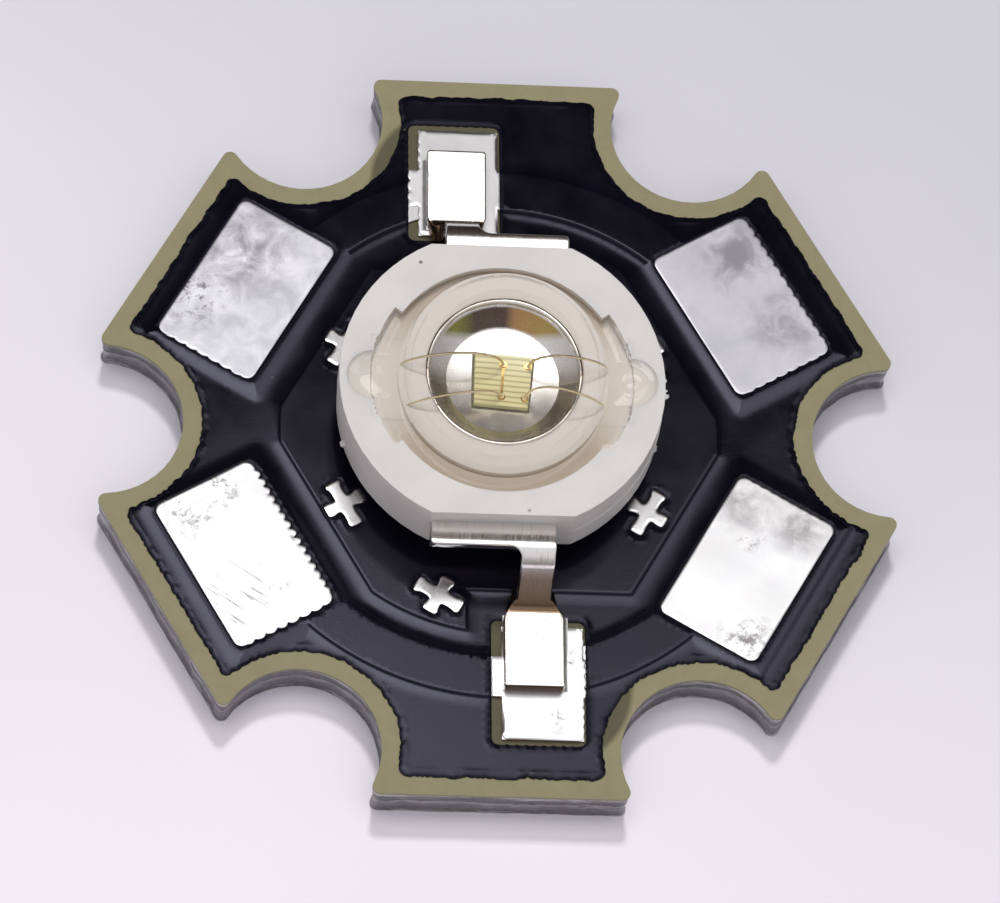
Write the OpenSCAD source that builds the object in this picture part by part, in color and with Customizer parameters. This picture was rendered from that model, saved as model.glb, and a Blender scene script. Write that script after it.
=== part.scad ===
// Power light-emitting diode soldered to a six-armed star board, in millimetres.
// The board's underside lies on the XY plane, centred on the origin, and +Z points up out of the lens.
// -Y is the front of the board, where one of the two leads comes down.

/* [Board] */
// Distance across opposite flats of the star
board_af = 20; // [19:0.5:22]
// Thickness of the aluminium plate
base_t = 1.1; // [0.8:0.1:2]
// Thickness of the insulating layer on the plate
dielectric_t = 0.1; // [0.06:0.02:0.2]
// How far each screw notch's centre lies outside the circle that touches the flats
notch_out = 0.16; // [0:0.02:0.4]
// Radius of each screw notch
notch_r = 2.08; // [1.8:0.02:2.2]
// Rounding of the arms' corners
corner_r = 0.2; // [0.1:0.05:0.4]

/* [Wire pads] */
// Distance from an arm's flat to its wire pad
pad_edge = 1.2; // [0.9:0.05:1.4]
// Width of a wire pad, across its arm
pad_w = 4.4; // [3:0.1:4.4]
// Copper left round each wire pad under the mask
pad_lap = 0.18; // [0.14:0.02:0.24]
// Thickness of the tin on every bare pad
tin_t = 0.05; // [0.03:0.01:0.08]

/* [Copper] */
// Thickness of the copper foil
copper_t = 0.07; // [0.035:0.005:0.1]
// Gap between the heat plane's straight sides and the wire pads' inner edge
plane_gap = 0.9; // [0.6:0.05:1.1]
// Gap between the ring trace and the heat plane's round ends
ring_gap = 0.66; // [0.4:0.02:0.8]
// Step from the wire pads' inner edge out to the ring trace
ring_step = 0.28; // [0.1:0.02:0.4]
// Distance from the ring trace to the edge of each screw notch
ring_edge = 0.73; // [0.6:0.01:0.9]

/* [Lead pads] */
// Width of a lead pad
lead_pad_w = 2.06; // [1.9:0.02:2.3]
// How far a lead pad's centre lies outside its foot's centre
lead_pad_out = 0.08; // [0:0.02:0.12]
// Step from a foot's heel out to the inner end of its pad
lead_pad_heel = 0.07; // [0:0.01:0.2]
// Pad left bare beyond a foot's toe
lead_pad_toe = 1.1; // [0.6:0.1:1.3]
// Gap between the heat plane and the inner end of a lead pad
plane_end_gap = 1; // [0.6:0.05:1.1]
// Gap between the heat plane and the side of a lead pad
plane_side_gap = 0.89; // [0.5:0.01:0.92]

/* [Solder mask] */
// Bare border between the board's edge and the mask
mask_border = 0.47; // [0.35:0.01:0.55]
// Thickness of the mask over copper
mask_t = 0.03; // [0.02:0.005:0.04]
// Thickness of the mask on the bare insulating layer
mask_fill_t = 0.05; // [0.03:0.005:0.06]
// Mask carried down the side of each copper edge
mask_wall = 0.05; // [0.03:0.01:0.08]
// Slip of the mask's openings against the copper, to the right
mask_slip_x = -0.1; // [-0.12:0.01:0.12]
// Slip of the mask's openings against the copper, to the rear
mask_slip_y = 0.03; // [-0.1:0.01:0.1]
// Opening left round each lead pad
lead_open = 0.16; // [0.14:0.01:0.3]
// Gap between the mask and the tin in its openings
mask_gap = 0.01; // [0.005:0.005:0.02]

/* [Locating crosses] */
// Length of a cross along the heat plane's nearest side, from tip to tip
cross_l = 1.3; // [1.1:0.02:1.3]
// Width of a cross square to that side, from tip to tip
cross_w = 1.04; // [0.9:0.02:1.06]
// Diameter of a cross's round tips
cross_tip = 0.38; // [0.3:0.02:0.4]
// Width of a cross's bars
cross_bar = 0.28; // [0.2:0.02:0.28]
// How far the side crosses' centres lie outside the emitter's body
cross_out = 0.34; // [0.3:0.01:0.38]
// Distance from the side crosses' centres to the heat plane's straight sides
cross_edge = 0.63; // [0.63:0.01:0.75]
// Distance from the heat plane's round ends to the end crosses
mark_edge = 0.72; // [0.7:0.02:0.9]
// Angle of the end crosses from the Y axis
mark_angle = 17.5; // [17:0.5:20]

/* [Emitter seat] */
// How far the emitter sits to the right of the board's centre
emitter_x = -0.16; // [-0.18:0.01:0.18]
// How far the emitter sits to the rear of the board's centre
emitter_y = 0.2; // [-0.2:0.01:0.2]
// Thickness of the solder under the slug and the feet
solder_t = 0.05; // [0.02:0.01:0.1]
// Size of the solder fillet along the outer side of each foot
solder_fillet = 0.12; // [0.05:0.01:0.15]
// Bare pad left round the slug
slug_pad_lap = 0.3; // [0.25:0.05:0.35]

/* [Heat slug] */
// Radius of the slug's foot
slug_r = 2.75; // [2.5:0.05:2.9]
// Height of the slug's foot
slug_foot_h = 1.2; // [1:0.05:1.3]
// Radius of the slug's middle step
slug_step_r = 1.9; // [1.6:0.05:1.95]
// Depth of the slug's middle step below the leads' top
slug_step_drop = 0.03; // [0.02:0.01:0.2]
// Outside radius of the reflector cup's rim
rim_r = 1.42; // [1.3:0.02:1.5]
// Width of the cup's rim
rim_w = 0.1; // [0.06:0.02:0.14]
// Radius of the cup's floor
cup_floor_r = 0.96; // [0.9:0.02:1]
// Depth of the cup
cup_depth = 0.18; // [0.16:0.02:0.3]

/* [Plastic body] */
// Radius of the body
body_r = 4.13; // [4.1:0.01:4.3]
// Distance across the body's two flats
body_flats = 7.44; // [7.3:0.02:7.6]
// Height of the body's underside above the seat
body_lift = 0.8; // [0.6:0.05:0.95]
// Height of the body
body_h = 1.77; // [1.7:0.01:1.9]
// Sideways step between the two halves of the mould
mould_step = 0.04; // [0:0.01:0.06]
// Depth of the floor round the cup below the body's top
floor_drop = 0.06; // [0.04:0.01:0.1]
// Depth of the lens seat below the body's top
seat_drop = 0.29; // [0.26:0.01:0.34]
// Gap between the lens flange and its seat's wall
seat_gap = 0.05; // [0.02:0.01:0.08]
// Gap between the raised floor round the cup and the lens skirt
floor_gap = 0.18; // [0.16:0.02:0.24]
// Depth of the two side bays beyond the seat's wall
bay_depth = 0.22; // [0.1:0.02:0.26]
// Half the angle that a side bay spans
bay_angle = 35; // [30:1:40]
// Radius of the two gel pockets
pocket_r = 0.67; // [0.55:0.01:0.68]
// Distance of each gel pocket from the emitter's axis
pocket_x = 3.27; // [3.2:0.01:3.3]
// Width of the slot that lets the bond wires down to a lead
slot_w = 2.2; // [2.1:0.05:2.3]
// How far each slot's inner end lies inside its lead's arm
slot_lap = 0.38; // [0.33:0.01:0.4]

/* [Leads] */
// Thickness of the lead strip
lead_t = 0.4; // [0.3:0.02:0.44]
// Depth of the leads' top below the body's top
lead_drop = 0.54; // [0.5:0.01:0.6]
// Length of the bar that stands out of the body
bar_l = 3.17; // [2.6:0.01:3.3]
// How far the bar stands out of the body's flat
bar_out = 0.63; // [0.5:0.01:0.75]
// Distance of the leg's and foot's middle from the emitter's axis
leg_off = 0.96; // [0.9:0.01:1]
// Width of the leg
leg_w = 0.84; // [0.7:0.02:1]
// Radius of the inner corner between a bar and its leg
leg_fillet = 0.2; // [0.1:0.02:0.26]
// Distance of the leg's outer face from the emitter's axis
leg_out = 5.28; // [5.1:0.02:5.4]
// Inside radius of the two bends
bend_r = 0.1; // [0.08:0.01:0.2]
// Width of the foot
foot_w = 1.53; // [1.3:0.01:1.6]
// Length of the taper from the leg's width to the foot's
shoulder_l = 0.3; // [0.2:0.05:0.5]
// Distance of the foot's toe from the emitter's axis
toe_out = 7.4; // [7.2:0.05:7.5]
// How far the arm inside the body reaches in under the lens skirt
arm_lap = 0.24; // [0.2:0.01:0.27]
// Width of the arm inside the body
arm_w = 0.95; // [0.8:0.05:1]
// Angle past the middle of the bar at which the arm starts
arm_start = 25; // [20:1:30]
// Angle past the X axis at which the arm ends
arm_end = 24; // [22:1:30]

/* [Lens] */
// Radius of the dome
lens_r = 2.68; // [2.6:0.02:2.72]
// Depth of the dome's centre below the body's top
lens_drop = 0.04; // [0:0.01:0.06]
// Thickness of the dome's wall
lens_wall = 0.34; // [0.25:0.01:0.4]
// Radius of the flange
flange_r = 3.05; // [3:0.01:3.1]
// Thickness of the flange
flange_t = 0.18; // [0.14:0.01:0.22]
// Thickness of the skirt's lower edge inside the flange
skirt_wall = 0.06; // [0.04:0.01:0.1]
// Height of the flare inside the skirt
skirt_h = 0.47; // [0.4:0.01:0.5]
// Height of the gel bead over each pocket
bead_h = 0.06; // [0.02:0.01:0.1]

/* [Chip] */
// Side of the square chip
chip_w = 0.96; // [0.9:0.01:1]
// Thickness of the chip
chip_t = 0.11; // [0.1:0.01:0.15]
// Turn of the chip in its cup
chip_turn = -3.8; // [-6:0.2:6]
// Thickness of the bond under the chip
attach_t = 0.02; // [0.01:0.01:0.03]
// Bond showing past each side of the chip
attach_lap = 0.03; // [0:0.01:0.05]
// Thickness of the gold electrodes
gold_t = 0.01; // [0.005:0.005:0.02]
// Width of the middle electrode
gold_bar_w = 0.05; // [0.04:0.01:0.08]
// Diameter of the four bond pads
gold_pad = 0.14; // [0.12:0.01:0.18]
// Distance of the bond pads' centres from the chip's front and rear sides
gold_edge = 0.18; // [0.1:0.01:0.24]

/* [Bond wires] */
// Diameter of the gold wire
wire_d = 0.05; // [0.04:0.005:0.06]
// Diameter of the ball at the chip's end
ball_d = 0.1; // [0.08:0.01:0.12]
// Thickness of the ball and of the stitch at the lead's end
ball_t = 0.03; // [0.02:0.005:0.04]
// How far the stitches lie inside the lens skirt's lower edge, along X
stitch_lap = 0; // [-0.02:0.01:0.06]
// How far each loop leans out as it leaves its ball
wire_lean = 0.2; // [0.1:0.02:0.3]
// Length of the steep run down to each stitch
wire_run = 0.6; // [0.56:0.01:0.64]
// Height of the steep run down to each stitch
wire_drop = 0.88; // [0.86:0.01:0.92]

/* [Hidden] */
$fn = 96;
arm_turns = [for (k = [0 : 5]) 30 + 60 * k];
pad_turns = [-150, -30, 150, 30];

// Sides and steps of a swept wire
sweep_sides = 8;
sweep_steps = 16;

// A length past the whole part, and the length by which a cut runs past what it cuts
reach = 2 * board_af;
over = 0.5;

// Length along a notch that the cut for a rounded corner takes in
corner_cut = 2.5 * corner_r;

// Heights of the board's layers
board_top = base_t + dielectric_t;
copper_top = board_top + copper_t;
mask_top = copper_top + mask_t;
tin_top = copper_top + tin_t;
seat_z = tin_top + solder_t;

// Radii and places on the board
board_in = board_af / 2;
notch_c = board_in + notch_out;
cross_r = body_r + cross_out;
plane_side = cross_r + cross_edge;
pad_in = plane_side + plane_gap;
pad_l = board_in - pad_edge - pad_in;
ring_in = pad_in + ring_step;
ring_out = notch_c - notch_r - ring_edge;
plane_r = ring_in - ring_gap;
heel_out = leg_out + bend_r;
lead_pad_x = leg_off + lead_pad_out;
lead_pad_in = heel_out + lead_pad_heel;
lead_pad_end = max(toe_out + lead_pad_toe, ring_out + pad_lap);

// Heights of the emitter, above its seat
body_top = body_lift + body_h;
floor_z = body_top - floor_drop;
lens_seat_z = body_top - seat_drop;
lens_z = body_top - lens_drop;
lead_top = body_top - lead_drop;
lead_base = lead_top - lead_t;
cup_floor_z = floor_z - cup_depth;
chip_z = cup_floor_z + attach_t;
chip_top = chip_z + chip_t;
gold_top = chip_top + gold_t;

// Radii of the emitter
body_flat = body_flats / 2;
bar_end = body_flat + bar_out;
cavity_r = lens_r - lens_wall;
skirt_r = lens_r - skirt_wall;
flare_r = sqrt(cavity_r ^ 2 - (lens_seat_z + skirt_h - lens_z) ^ 2);
island_r = skirt_r - floor_gap;
arm_in = skirt_r - arm_lap;
slot_in = arm_in - slot_lap;
stitch_x = skirt_r - stitch_lap;
lens_seat_r = flange_r + seat_gap;

// Bond pads on the chip, and the side of the wire from each
gold_x = chip_w / 2 - gold_pad / 2;
gold_y = chip_w / 2 - gold_edge;
wire_names = ["wire_rear_left", "wire_front_left", "wire_rear_right", "wire_front_right"];
wire_pads = [[0, gold_y], [0, -gold_y], [gold_x, gold_y], [gold_x, -gold_y]];
wire_sides = [-1, -1, 1, 1];

// Where the stitches lie across their slot, and how high the loops rise under the lens
stitch_y = slot_w * [0.127, -0.355, 0.136, -0.282];
wire_loop = lens_r * [0.28, 0.168, 0.298, 0.336];

// A cubic curve with level ends rises to three quarters of its middle points
loop_pull = 4 / 3;

// Star outline set in from the board's edge, with the corner between each flat and notch rounded
module star_outline(inset = 0) {
    flat = board_in - inset;
    bite = notch_r + inset;
    bite_u = notch_c * cos(30);
    bite_v = notch_c * sin(30);
    round_u = flat - corner_r;
    round_v = bite_v - sqrt((bite + corner_r) ^ 2 - (round_u - bite_u) ^ 2);
    tip_v = bite_v - sqrt(bite ^ 2 - (flat - bite_u) ^ 2);
    to_bite = [bite_u - round_u, bite_v - round_v] / (bite + corner_r);
    difference() {
        circle(r = flat / cos(30), $fn = 6);
        for (turn = arm_turns) {
            rotate(turn - 30) translate([notch_c, 0]) circle(r = bite);
            rotate(turn) for (side = [-1, 1]) scale([1, side]) difference() {
                polygon([[round_u, round_v], [flat + over, round_v], [flat + over, tip_v],
                         [round_u, round_v] + corner_cut * to_bite]);
                translate([round_u, round_v]) circle(r = corner_r);
            }
        }
    }
}

// Box on the plane, from its inner end out along +X
module arm_box(from, length, width) {
    translate([from, -width / 2]) square([length, width]);
}

// Copper under the emitter: a disc with four straight sides, stepped back from the two lead pads
module plane_outline(grow = 0) {
    step_x = lead_pad_x - lead_pad_w / 2 - plane_side_gap + grow;
    step_y = lead_pad_in - plane_end_gap + grow;
    difference() {
        intersection() {
            circle(r = plane_r + grow);
            rotate(30) square([2 * (plane_side + grow), reach], center = true);
            rotate(-30) square([2 * (plane_side + grow), reach], center = true);
        }
        for (turn = [0, 180]) rotate(turn) translate([step_x, -step_y - reach]) square([reach, reach]);
    }
}

// Copper of one polarity: the front lead pad, half a ring and two wire pads
module trace_outline(grow = 0) {
    lap = pad_lap + grow;
    intersection() {
        difference() {
            circle(r = ring_out + grow);
            circle(r = ring_in - grow);
        }
        polygon(reach * [[0, 0], [-cos(30), -sin(30)], [0, -2], [cos(30), -sin(30)]]);
    }
    for (k = [0, 1]) rotate(pad_turns[k]) arm_box(pad_in - lap, pad_l + 2 * lap, pad_w + 2 * lap);
    translate([lead_pad_x, 0]) rotate(-90)
        arm_box(lead_pad_in - grow, lead_pad_end - lead_pad_in + 2 * grow, lead_pad_w + 2 * grow);
}

module copper_outlines(grow = 0) {
    plane_outline(grow);
    for (turn = [0, 180]) rotate(turn) trace_outline(grow);
}

// The mask's openings, each drawn smaller by inset for the tin that fills it
module slipped() {
    translate([mask_slip_x, mask_slip_y]) children();
}

module wire_pad_opening(turn, inset = 0) {
    slipped() rotate(turn) arm_box(pad_in + inset, pad_l - 2 * inset, pad_w - 2 * inset);
}

module lead_opening(turn, inset = 0) {
    gap = lead_open - inset;
    slipped() rotate(turn) translate([lead_pad_x, 0]) rotate(-90)
        arm_box(lead_pad_in - gap, lead_pad_end - lead_pad_in + 2 * gap, lead_pad_w + 2 * gap);
}

module locating_cross(inset = 0) {
    cross_arm(0, cross_w - cross_tip, inset);
    cross_arm(90, cross_l - cross_tip, inset);
}

module cross_arm(turn, length, inset) {
    rotate(turn) {
        square([length, cross_bar - 2 * inset], center = true);
        for (side = [-1, 1]) translate([side * length / 2, 0]) circle(d = cross_tip - 2 * inset);
    }
}

module cross_openings(inset = 0) {
    slipped() {
        for (turn = pad_turns) rotate(turn) translate([cross_r, 0]) locating_cross(inset);
        for (turn = [0, 180]) rotate(turn - 90 - mark_angle) translate([plane_r - mark_edge, 0])
            rotate(mark_angle + pad_turns[1]) locating_cross(inset);
    }
}

module slug_pad_opening(inset = 0) {
    slipped() circle(r = slug_r + slug_pad_lap - inset);
}

// One layer of the board
module layer(from, to) {
    translate([0, 0, from]) linear_extrude(to - from) children();
}

module aluminium_base() {
    color("darkgray") layer(0, base_t) star_outline();
}

module dielectric_layer() {
    color("darkkhaki") layer(base_t, board_top) star_outline();
}

module heat_plane() {
    color("chocolate") layer(board_top, copper_top) plane_outline();
}

module trace(turn) {
    color("chocolate") layer(board_top, copper_top) rotate(turn) trace_outline();
}

// The mask is thin on the bare board and steps up over the copper, so the copper's edges show as relief
module solder_mask() {
    color("#16161f") difference() {
        union() {
            layer(board_top, board_top + mask_fill_t) star_outline(mask_border);
            layer(board_top, mask_top) copper_outlines(mask_wall);
        }
        layer(board_top - over, copper_top) copper_outlines();
        layer(board_top - over, mask_top + over) {
            for (turn = pad_turns) wire_pad_opening(turn);
            for (turn = [0, 180]) lead_opening(turn);
            cross_openings();
            slug_pad_opening();
        }
    }
}

module tin_wire_pad(turn) {
    color("gainsboro") layer(copper_top, tin_top) wire_pad_opening(turn, mask_gap);
}

// The tin covers the copper that shows in the lead pad's opening
module tin_lead_pad(turn) {
    color("gainsboro") layer(copper_top, tin_top) intersection() {
        lead_opening(turn, mask_gap);
        rotate(turn) trace_outline();
    }
}

module tin_crosses() {
    color("gainsboro") layer(copper_top, tin_top) intersection() {
        cross_openings(mask_gap);
        plane_outline();
    }
}

module tin_slug_pad() {
    color("gainsboro") layer(copper_top, tin_top) slug_pad_opening(mask_gap);
}

// Places what belongs to the emitter on the board
module on_seat() {
    translate([emitter_x, emitter_y, seat_z]) children();
}

// Solder under a foot, with a hollow fillet up its outer side
module foot_solder(turn) {
    foot_l = toe_out - heel_out;
    color("silver") on_seat() rotate(turn) translate([leg_off, -heel_out, -solder_t]) {
        translate([-foot_w / 2, -foot_l, 0]) cube([foot_w, foot_l, solder_t]);
        translate([foot_w / 2, 0, 0]) rotate([90, 0, 0]) linear_extrude(foot_l) difference() {
            square(solder_fillet);
            translate([solder_fillet, solder_fillet]) circle(r = solder_fillet);
        }
    }
}

module slug_solder() {
    color("silver") on_seat() translate([0, 0, -solder_t]) cylinder(r = slug_r, h = solder_t);
}

// The slug's steps, which the body is moulded round
module slug_steps() {
    cylinder(r = slug_r, h = slug_foot_h);
    cylinder(r = slug_step_r, h = lead_top - slug_step_drop);
    cylinder(r = rim_r, h = floor_z);
}

// The dished reflector that holds the chip, as a section to be turned
module cup_section(above = 0) {
    polygon([[0, cup_floor_z], [cup_floor_r, cup_floor_z], [rim_r - rim_w, floor_z],
             [rim_r - rim_w, floor_z + above], [0, floor_z + above]]);
}

module heat_slug() {
    color("silver") on_seat() difference() {
        slug_steps();
        rotate_extrude() cup_section(over);
    }
}

// Side view of a lead, out from the emitter's axis: bar, bend, leg, bend and foot
module lead_profile() {
    bend_out = bend_r + lead_t;
    square_run = leg_out - bend_out;
    translate([0, lead_base]) square([square_run, lead_t]);
    translate([square_run, lead_top - bend_out]) bend_quarter(bend_out, 0);
    translate([leg_out - lead_t, bend_out]) square([lead_t, lead_top - 2 * bend_out]);
    translate([heel_out, bend_out]) bend_quarter(bend_out, 180);
    translate([heel_out, 0]) square([toe_out - heel_out, lead_t]);
}

module bend_quarter(bend_out, turn) {
    rotate(turn) difference() {
        intersection() {
            circle(r = bend_out);
            square(bend_out);
        }
        circle(r = bend_r);
    }
}

// Top view of a lead's outer end, out along -Y
module lead_plan() {
    leg_side = leg_off + leg_w / 2;
    translate([leg_side - bar_l, -bar_end]) square([bar_l, bar_end - body_flat + arm_w]);
    translate([leg_side - leg_w - leg_fillet, -bar_end - leg_fillet]) difference() {
        square(leg_fillet + over);
        circle(r = leg_fillet);
    }
    translate([leg_off, 0]) polygon([
        [-leg_w / 2, -body_flat], [-leg_w / 2, -heel_out], [-foot_w / 2, -heel_out - shoulder_l],
        [-foot_w / 2, -toe_out - over], [foot_w / 2, -toe_out - over], [foot_w / 2, -heel_out - shoulder_l],
        [leg_w / 2, -heel_out], [leg_w / 2, -body_flat]]);
}

// Top view of the arm that carries the lead round inside the body to its bond wires
module arm_plan() {
    intersection() {
        difference() {
            circle(r = arm_in + arm_w);
            circle(r = arm_in);
        }
        polygon(reach * [[0, 0], [-sin(arm_start), -cos(arm_start)], [1, -1], [1, 0], [cos(arm_end), sin(arm_end)]]);
    }
}

module lead() {
    intersection() {
        rotate([90, 0, -90]) linear_extrude(reach, center = true) lead_profile();
        translate([0, 0, -over]) linear_extrude(body_top) lead_plan();
    }
    translate([0, 0, lead_base]) linear_extrude(lead_t) arm_plan();
}

module front_lead() {
    color("lightgray") on_seat() lead();
}

module rear_lead() {
    color("lightgray") on_seat() rotate(180) lead();
}

// Slot over a lead's arm and the round gel pocket outside it, on the +X side
module slot_plan() {
    translate([slot_in, -slot_w / 2]) square([pocket_x - slot_in, slot_w]);
    pocket_plan();
}

module pocket_plan() {
    translate([pocket_x, 0]) circle(r = pocket_r);
}

// Where the lens flange sits, with its two side bays
module seat_plan() {
    circle(r = lens_seat_r);
    intersection() {
        circle(r = lens_seat_r + bay_depth);
        for (turn = [0, 180]) rotate(turn)
            polygon(reach * [[0, 0], [cos(bay_angle), -sin(bay_angle)], [cos(bay_angle), sin(bay_angle)]]);
    }
}

module body_half(from, to, shift) {
    translate([shift, 0, from]) linear_extrude(to - from) intersection() {
        circle(r = body_r);
        square([reach, body_flats], center = true);
    }
}

// White body, moulded round the slug and both leads
module body_frame() {
    color("ivory") on_seat() difference() {
        union() {
            body_half(lead_base, body_top, 0);
            body_half(body_lift, lead_base, mould_step);
        }
        slug_steps();
        for (turn = [0, 180]) rotate(turn) {
            lead();
            layer(lead_top, floor_z + over) slot_plan();
        }
        layer(floor_z, body_top + over) seat_plan();
        layer(lens_seat_z, body_top + over) difference() {
            seat_plan();
            circle(r = island_r);
        }
    }
}

// Hollow of the lens: a dome with a flared skirt, as a section to be turned
module cavity_section() {
    flare_z = lens_seat_z + skirt_h;
    intersection() {
        translate([0, lens_z]) circle(r = cavity_r);
        translate([0, flare_z]) square(reach);
    }
    polygon([[0, lens_seat_z], [skirt_r, lens_seat_z], [flare_r, flare_z], [0, flare_z]]);
}

module lens() {
    color("white", 0.35) on_seat() rotate_extrude() difference() {
        union() {
            intersection() {
                translate([0, lens_z]) circle(r = lens_r);
                translate([0, lens_seat_z]) square(reach);
            }
            translate([0, lens_seat_z]) square([flange_r, flange_t]);
        }
        cavity_section();
    }
}

// Clear gel that fills the lens, the cup, the slots and the pockets, with a low bead over each pocket
module silicone_gel() {
    bead_r = (pocket_r ^ 2 + bead_h ^ 2) / (2 * bead_h);
    color("white", 0.3) on_seat() difference() {
        union() {
            rotate_extrude() difference() {
                cavity_section();
                square([island_r, floor_z]);
            }
            rotate_extrude() cup_section();
            for (turn = [0, 180]) rotate(turn) {
                layer(lead_top, lens_seat_z) slot_plan();
                layer(lens_seat_z, floor_z) intersection() {
                    slot_plan();
                    circle(r = island_r);
                }
                layer(lens_seat_z, body_top) difference() {
                    pocket_plan();
                    circle(r = flange_r);
                }
                difference() {
                    translate([pocket_x, 0, body_top + bead_h - bead_r]) intersection() {
                        sphere(r = bead_r);
                        translate([0, 0, bead_r - bead_h]) cylinder(r = pocket_r, h = 2 * bead_h);
                    }
                    cylinder(r = flange_r, h = reach);
                }
            }
        }
        die_stack();
        for (k = [0 : len(wire_names) - 1]) bond_wire(k);
    }
}

// The chip turns in its cup with its bond and its electrodes
module on_chip() {
    rotate(chip_turn) children();
}

module square_plate(side, from, to) {
    layer(from, to) square(side, center = true);
}

module electrode_plan() {
    square([gold_bar_w, chip_w - 2 * gold_edge], center = true);
    for (pad = wire_pads) translate(pad) circle(d = gold_pad);
}

module die_stack() {
    on_chip() {
        square_plate(chip_w + 2 * attach_lap, cup_floor_z, chip_z);
        square_plate(chip_w, chip_z, chip_top);
        layer(chip_top, gold_top) electrode_plan();
    }
}

module die_attach() {
    color("gray") on_seat() on_chip() square_plate(chip_w + 2 * attach_lap, cup_floor_z, chip_z);
}

module led_chip() {
    color("khaki") on_seat() on_chip() square_plate(chip_w, chip_z, chip_top);
}

module chip_electrodes() {
    color("gold") on_seat() on_chip() layer(chip_top, gold_top) electrode_plan();
}

// A loop of wire is a cubic curve in an upright plane, swept by a ring of points
function turned(p, a) = [p.x * cos(a) - p.y * sin(a), p.x * sin(a) + p.y * cos(a)];
function cubic(c, t) = c[0] * (1 - t) ^ 3 + 3 * c[1] * (1 - t) ^ 2 * t + 3 * c[2] * (1 - t) * t ^ 2 + c[3] * t ^ 3;
function slope(c, t) = (c[1] - c[0]) * (1 - t) ^ 2 + 2 * (c[2] - c[1]) * (1 - t) * t + (c[3] - c[2]) * t ^ 2;
function unit(v) = v / norm(v);
function ring(c, t, side) =
    let (along = unit(slope(c, t)), up = cross(side, along))
    [for (k = [0 : sweep_sides - 1])
        cubic(c, t) + wire_d / 2 * (cos(360 * k / sweep_sides) * side + sin(360 * k / sweep_sides) * up)];

module wire_loop_tube(c) {
    side = unit([c[0].y - c[3].y, c[3].x - c[0].x, 0]);
    points = [for (j = [0 : sweep_steps]) each ring(c, j / sweep_steps, side)];
    skin = [for (j = [0 : sweep_steps - 1]) for (k = [0 : sweep_sides - 1])
        let (a = j * sweep_sides + k, b = j * sweep_sides + (k + 1) % sweep_sides)
        each [[a, a + sweep_sides, b], [b, a + sweep_sides, b + sweep_sides]]];
    start = [for (k = [0 : sweep_sides - 1]) k];
    end = [for (k = [sweep_sides - 1 : -1 : 0]) sweep_steps * sweep_sides + k];
    polyhedron(points, concat(skin, [start, end]));
}

module bond_wire(k) {
    pad = turned(wire_pads[k], chip_turn);
    stitch = [wire_sides[k] * stitch_x, stitch_y[k]];
    level = unit([stitch.x - pad.x, stitch.y - pad.y, 0]);
    first = [pad.x, pad.y, gold_top + ball_t / 2];
    last = [stitch.x, stitch.y, lead_top + ball_t / 2];
    wire_loop_tube([first, first + wire_lean * level + [0, 0, loop_pull * wire_loop[k]],
                    last - wire_run * level + [0, 0, wire_drop], last]);
    translate([pad.x, pad.y, gold_top]) cylinder(d = ball_d, h = ball_t);
    translate([stitch.x, stitch.y, lead_top]) cylinder(d = ball_d, h = ball_t);
}

aluminium_base();
dielectric_layer();
heat_plane();
trace(0);  // front_trace
trace(180);  // rear_trace
solder_mask();
tin_wire_pad(pad_turns[0]);  // tin_front_left
tin_wire_pad(pad_turns[1]);  // tin_front_right
tin_wire_pad(pad_turns[2]);  // tin_rear_left
tin_wire_pad(pad_turns[3]);  // tin_rear_right
tin_lead_pad(0);  // tin_front_lead
tin_lead_pad(180);  // tin_rear_lead
tin_crosses();
tin_slug_pad();
foot_solder(0);  // front_solder
foot_solder(180);  // rear_solder
slug_solder();
heat_slug();
body_frame();
front_lead();
rear_lead();
lens();
silicone_gel();
die_attach();
led_chip();
chip_electrodes();
for (k = [0 : len(wire_names) - 1])
    color("goldenrod") on_seat() bond_wire(k);
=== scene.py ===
# %% [markdown]
# A power light-emitting diode sits on a star-shaped metal board. The solids of the part give its true
# sizes, and this lesson dresses them: it keeps the solids whose shape is already right and gives them a
# finish, and it builds new meshes for what a solid leaves plain, such as the ragged edge of the lacquer
# or the clear gel under the lens. All lengths below are written in millimetres and turned into metres
# where a mesh is made.

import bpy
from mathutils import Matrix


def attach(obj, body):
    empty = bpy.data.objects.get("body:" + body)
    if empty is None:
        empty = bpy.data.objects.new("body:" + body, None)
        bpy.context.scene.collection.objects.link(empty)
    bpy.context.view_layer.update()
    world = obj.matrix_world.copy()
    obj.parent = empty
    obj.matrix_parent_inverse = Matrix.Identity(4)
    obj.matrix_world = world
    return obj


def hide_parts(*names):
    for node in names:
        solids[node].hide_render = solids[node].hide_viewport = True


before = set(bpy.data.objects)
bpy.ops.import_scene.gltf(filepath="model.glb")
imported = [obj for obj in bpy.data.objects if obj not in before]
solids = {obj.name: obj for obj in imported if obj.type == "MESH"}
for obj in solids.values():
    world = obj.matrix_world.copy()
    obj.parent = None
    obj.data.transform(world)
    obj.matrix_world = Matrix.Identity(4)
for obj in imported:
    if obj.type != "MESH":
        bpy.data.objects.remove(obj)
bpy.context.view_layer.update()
print("solids loaded:", len(solids))

# %% Tools used by every step
import math

import bpy
import numpy as np
from mathutils import Matrix, Vector
from mathutils.geometry import delaunay_2d_cdt

MM = 0.001
dice = np.random.default_rng(7)
print("Blender", bpy.app.version_string)

# %% [markdown]
# The camera stands in front of the board and looks down on it at about 65 degrees. It was found by
# matching the board's corners and notches, so a long lens and a place about 157 mm away come out of
# that, with a small roll. A camera in Blender looks along its own -Z, so its matrix is made from the
# three directions right, up and back.

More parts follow.
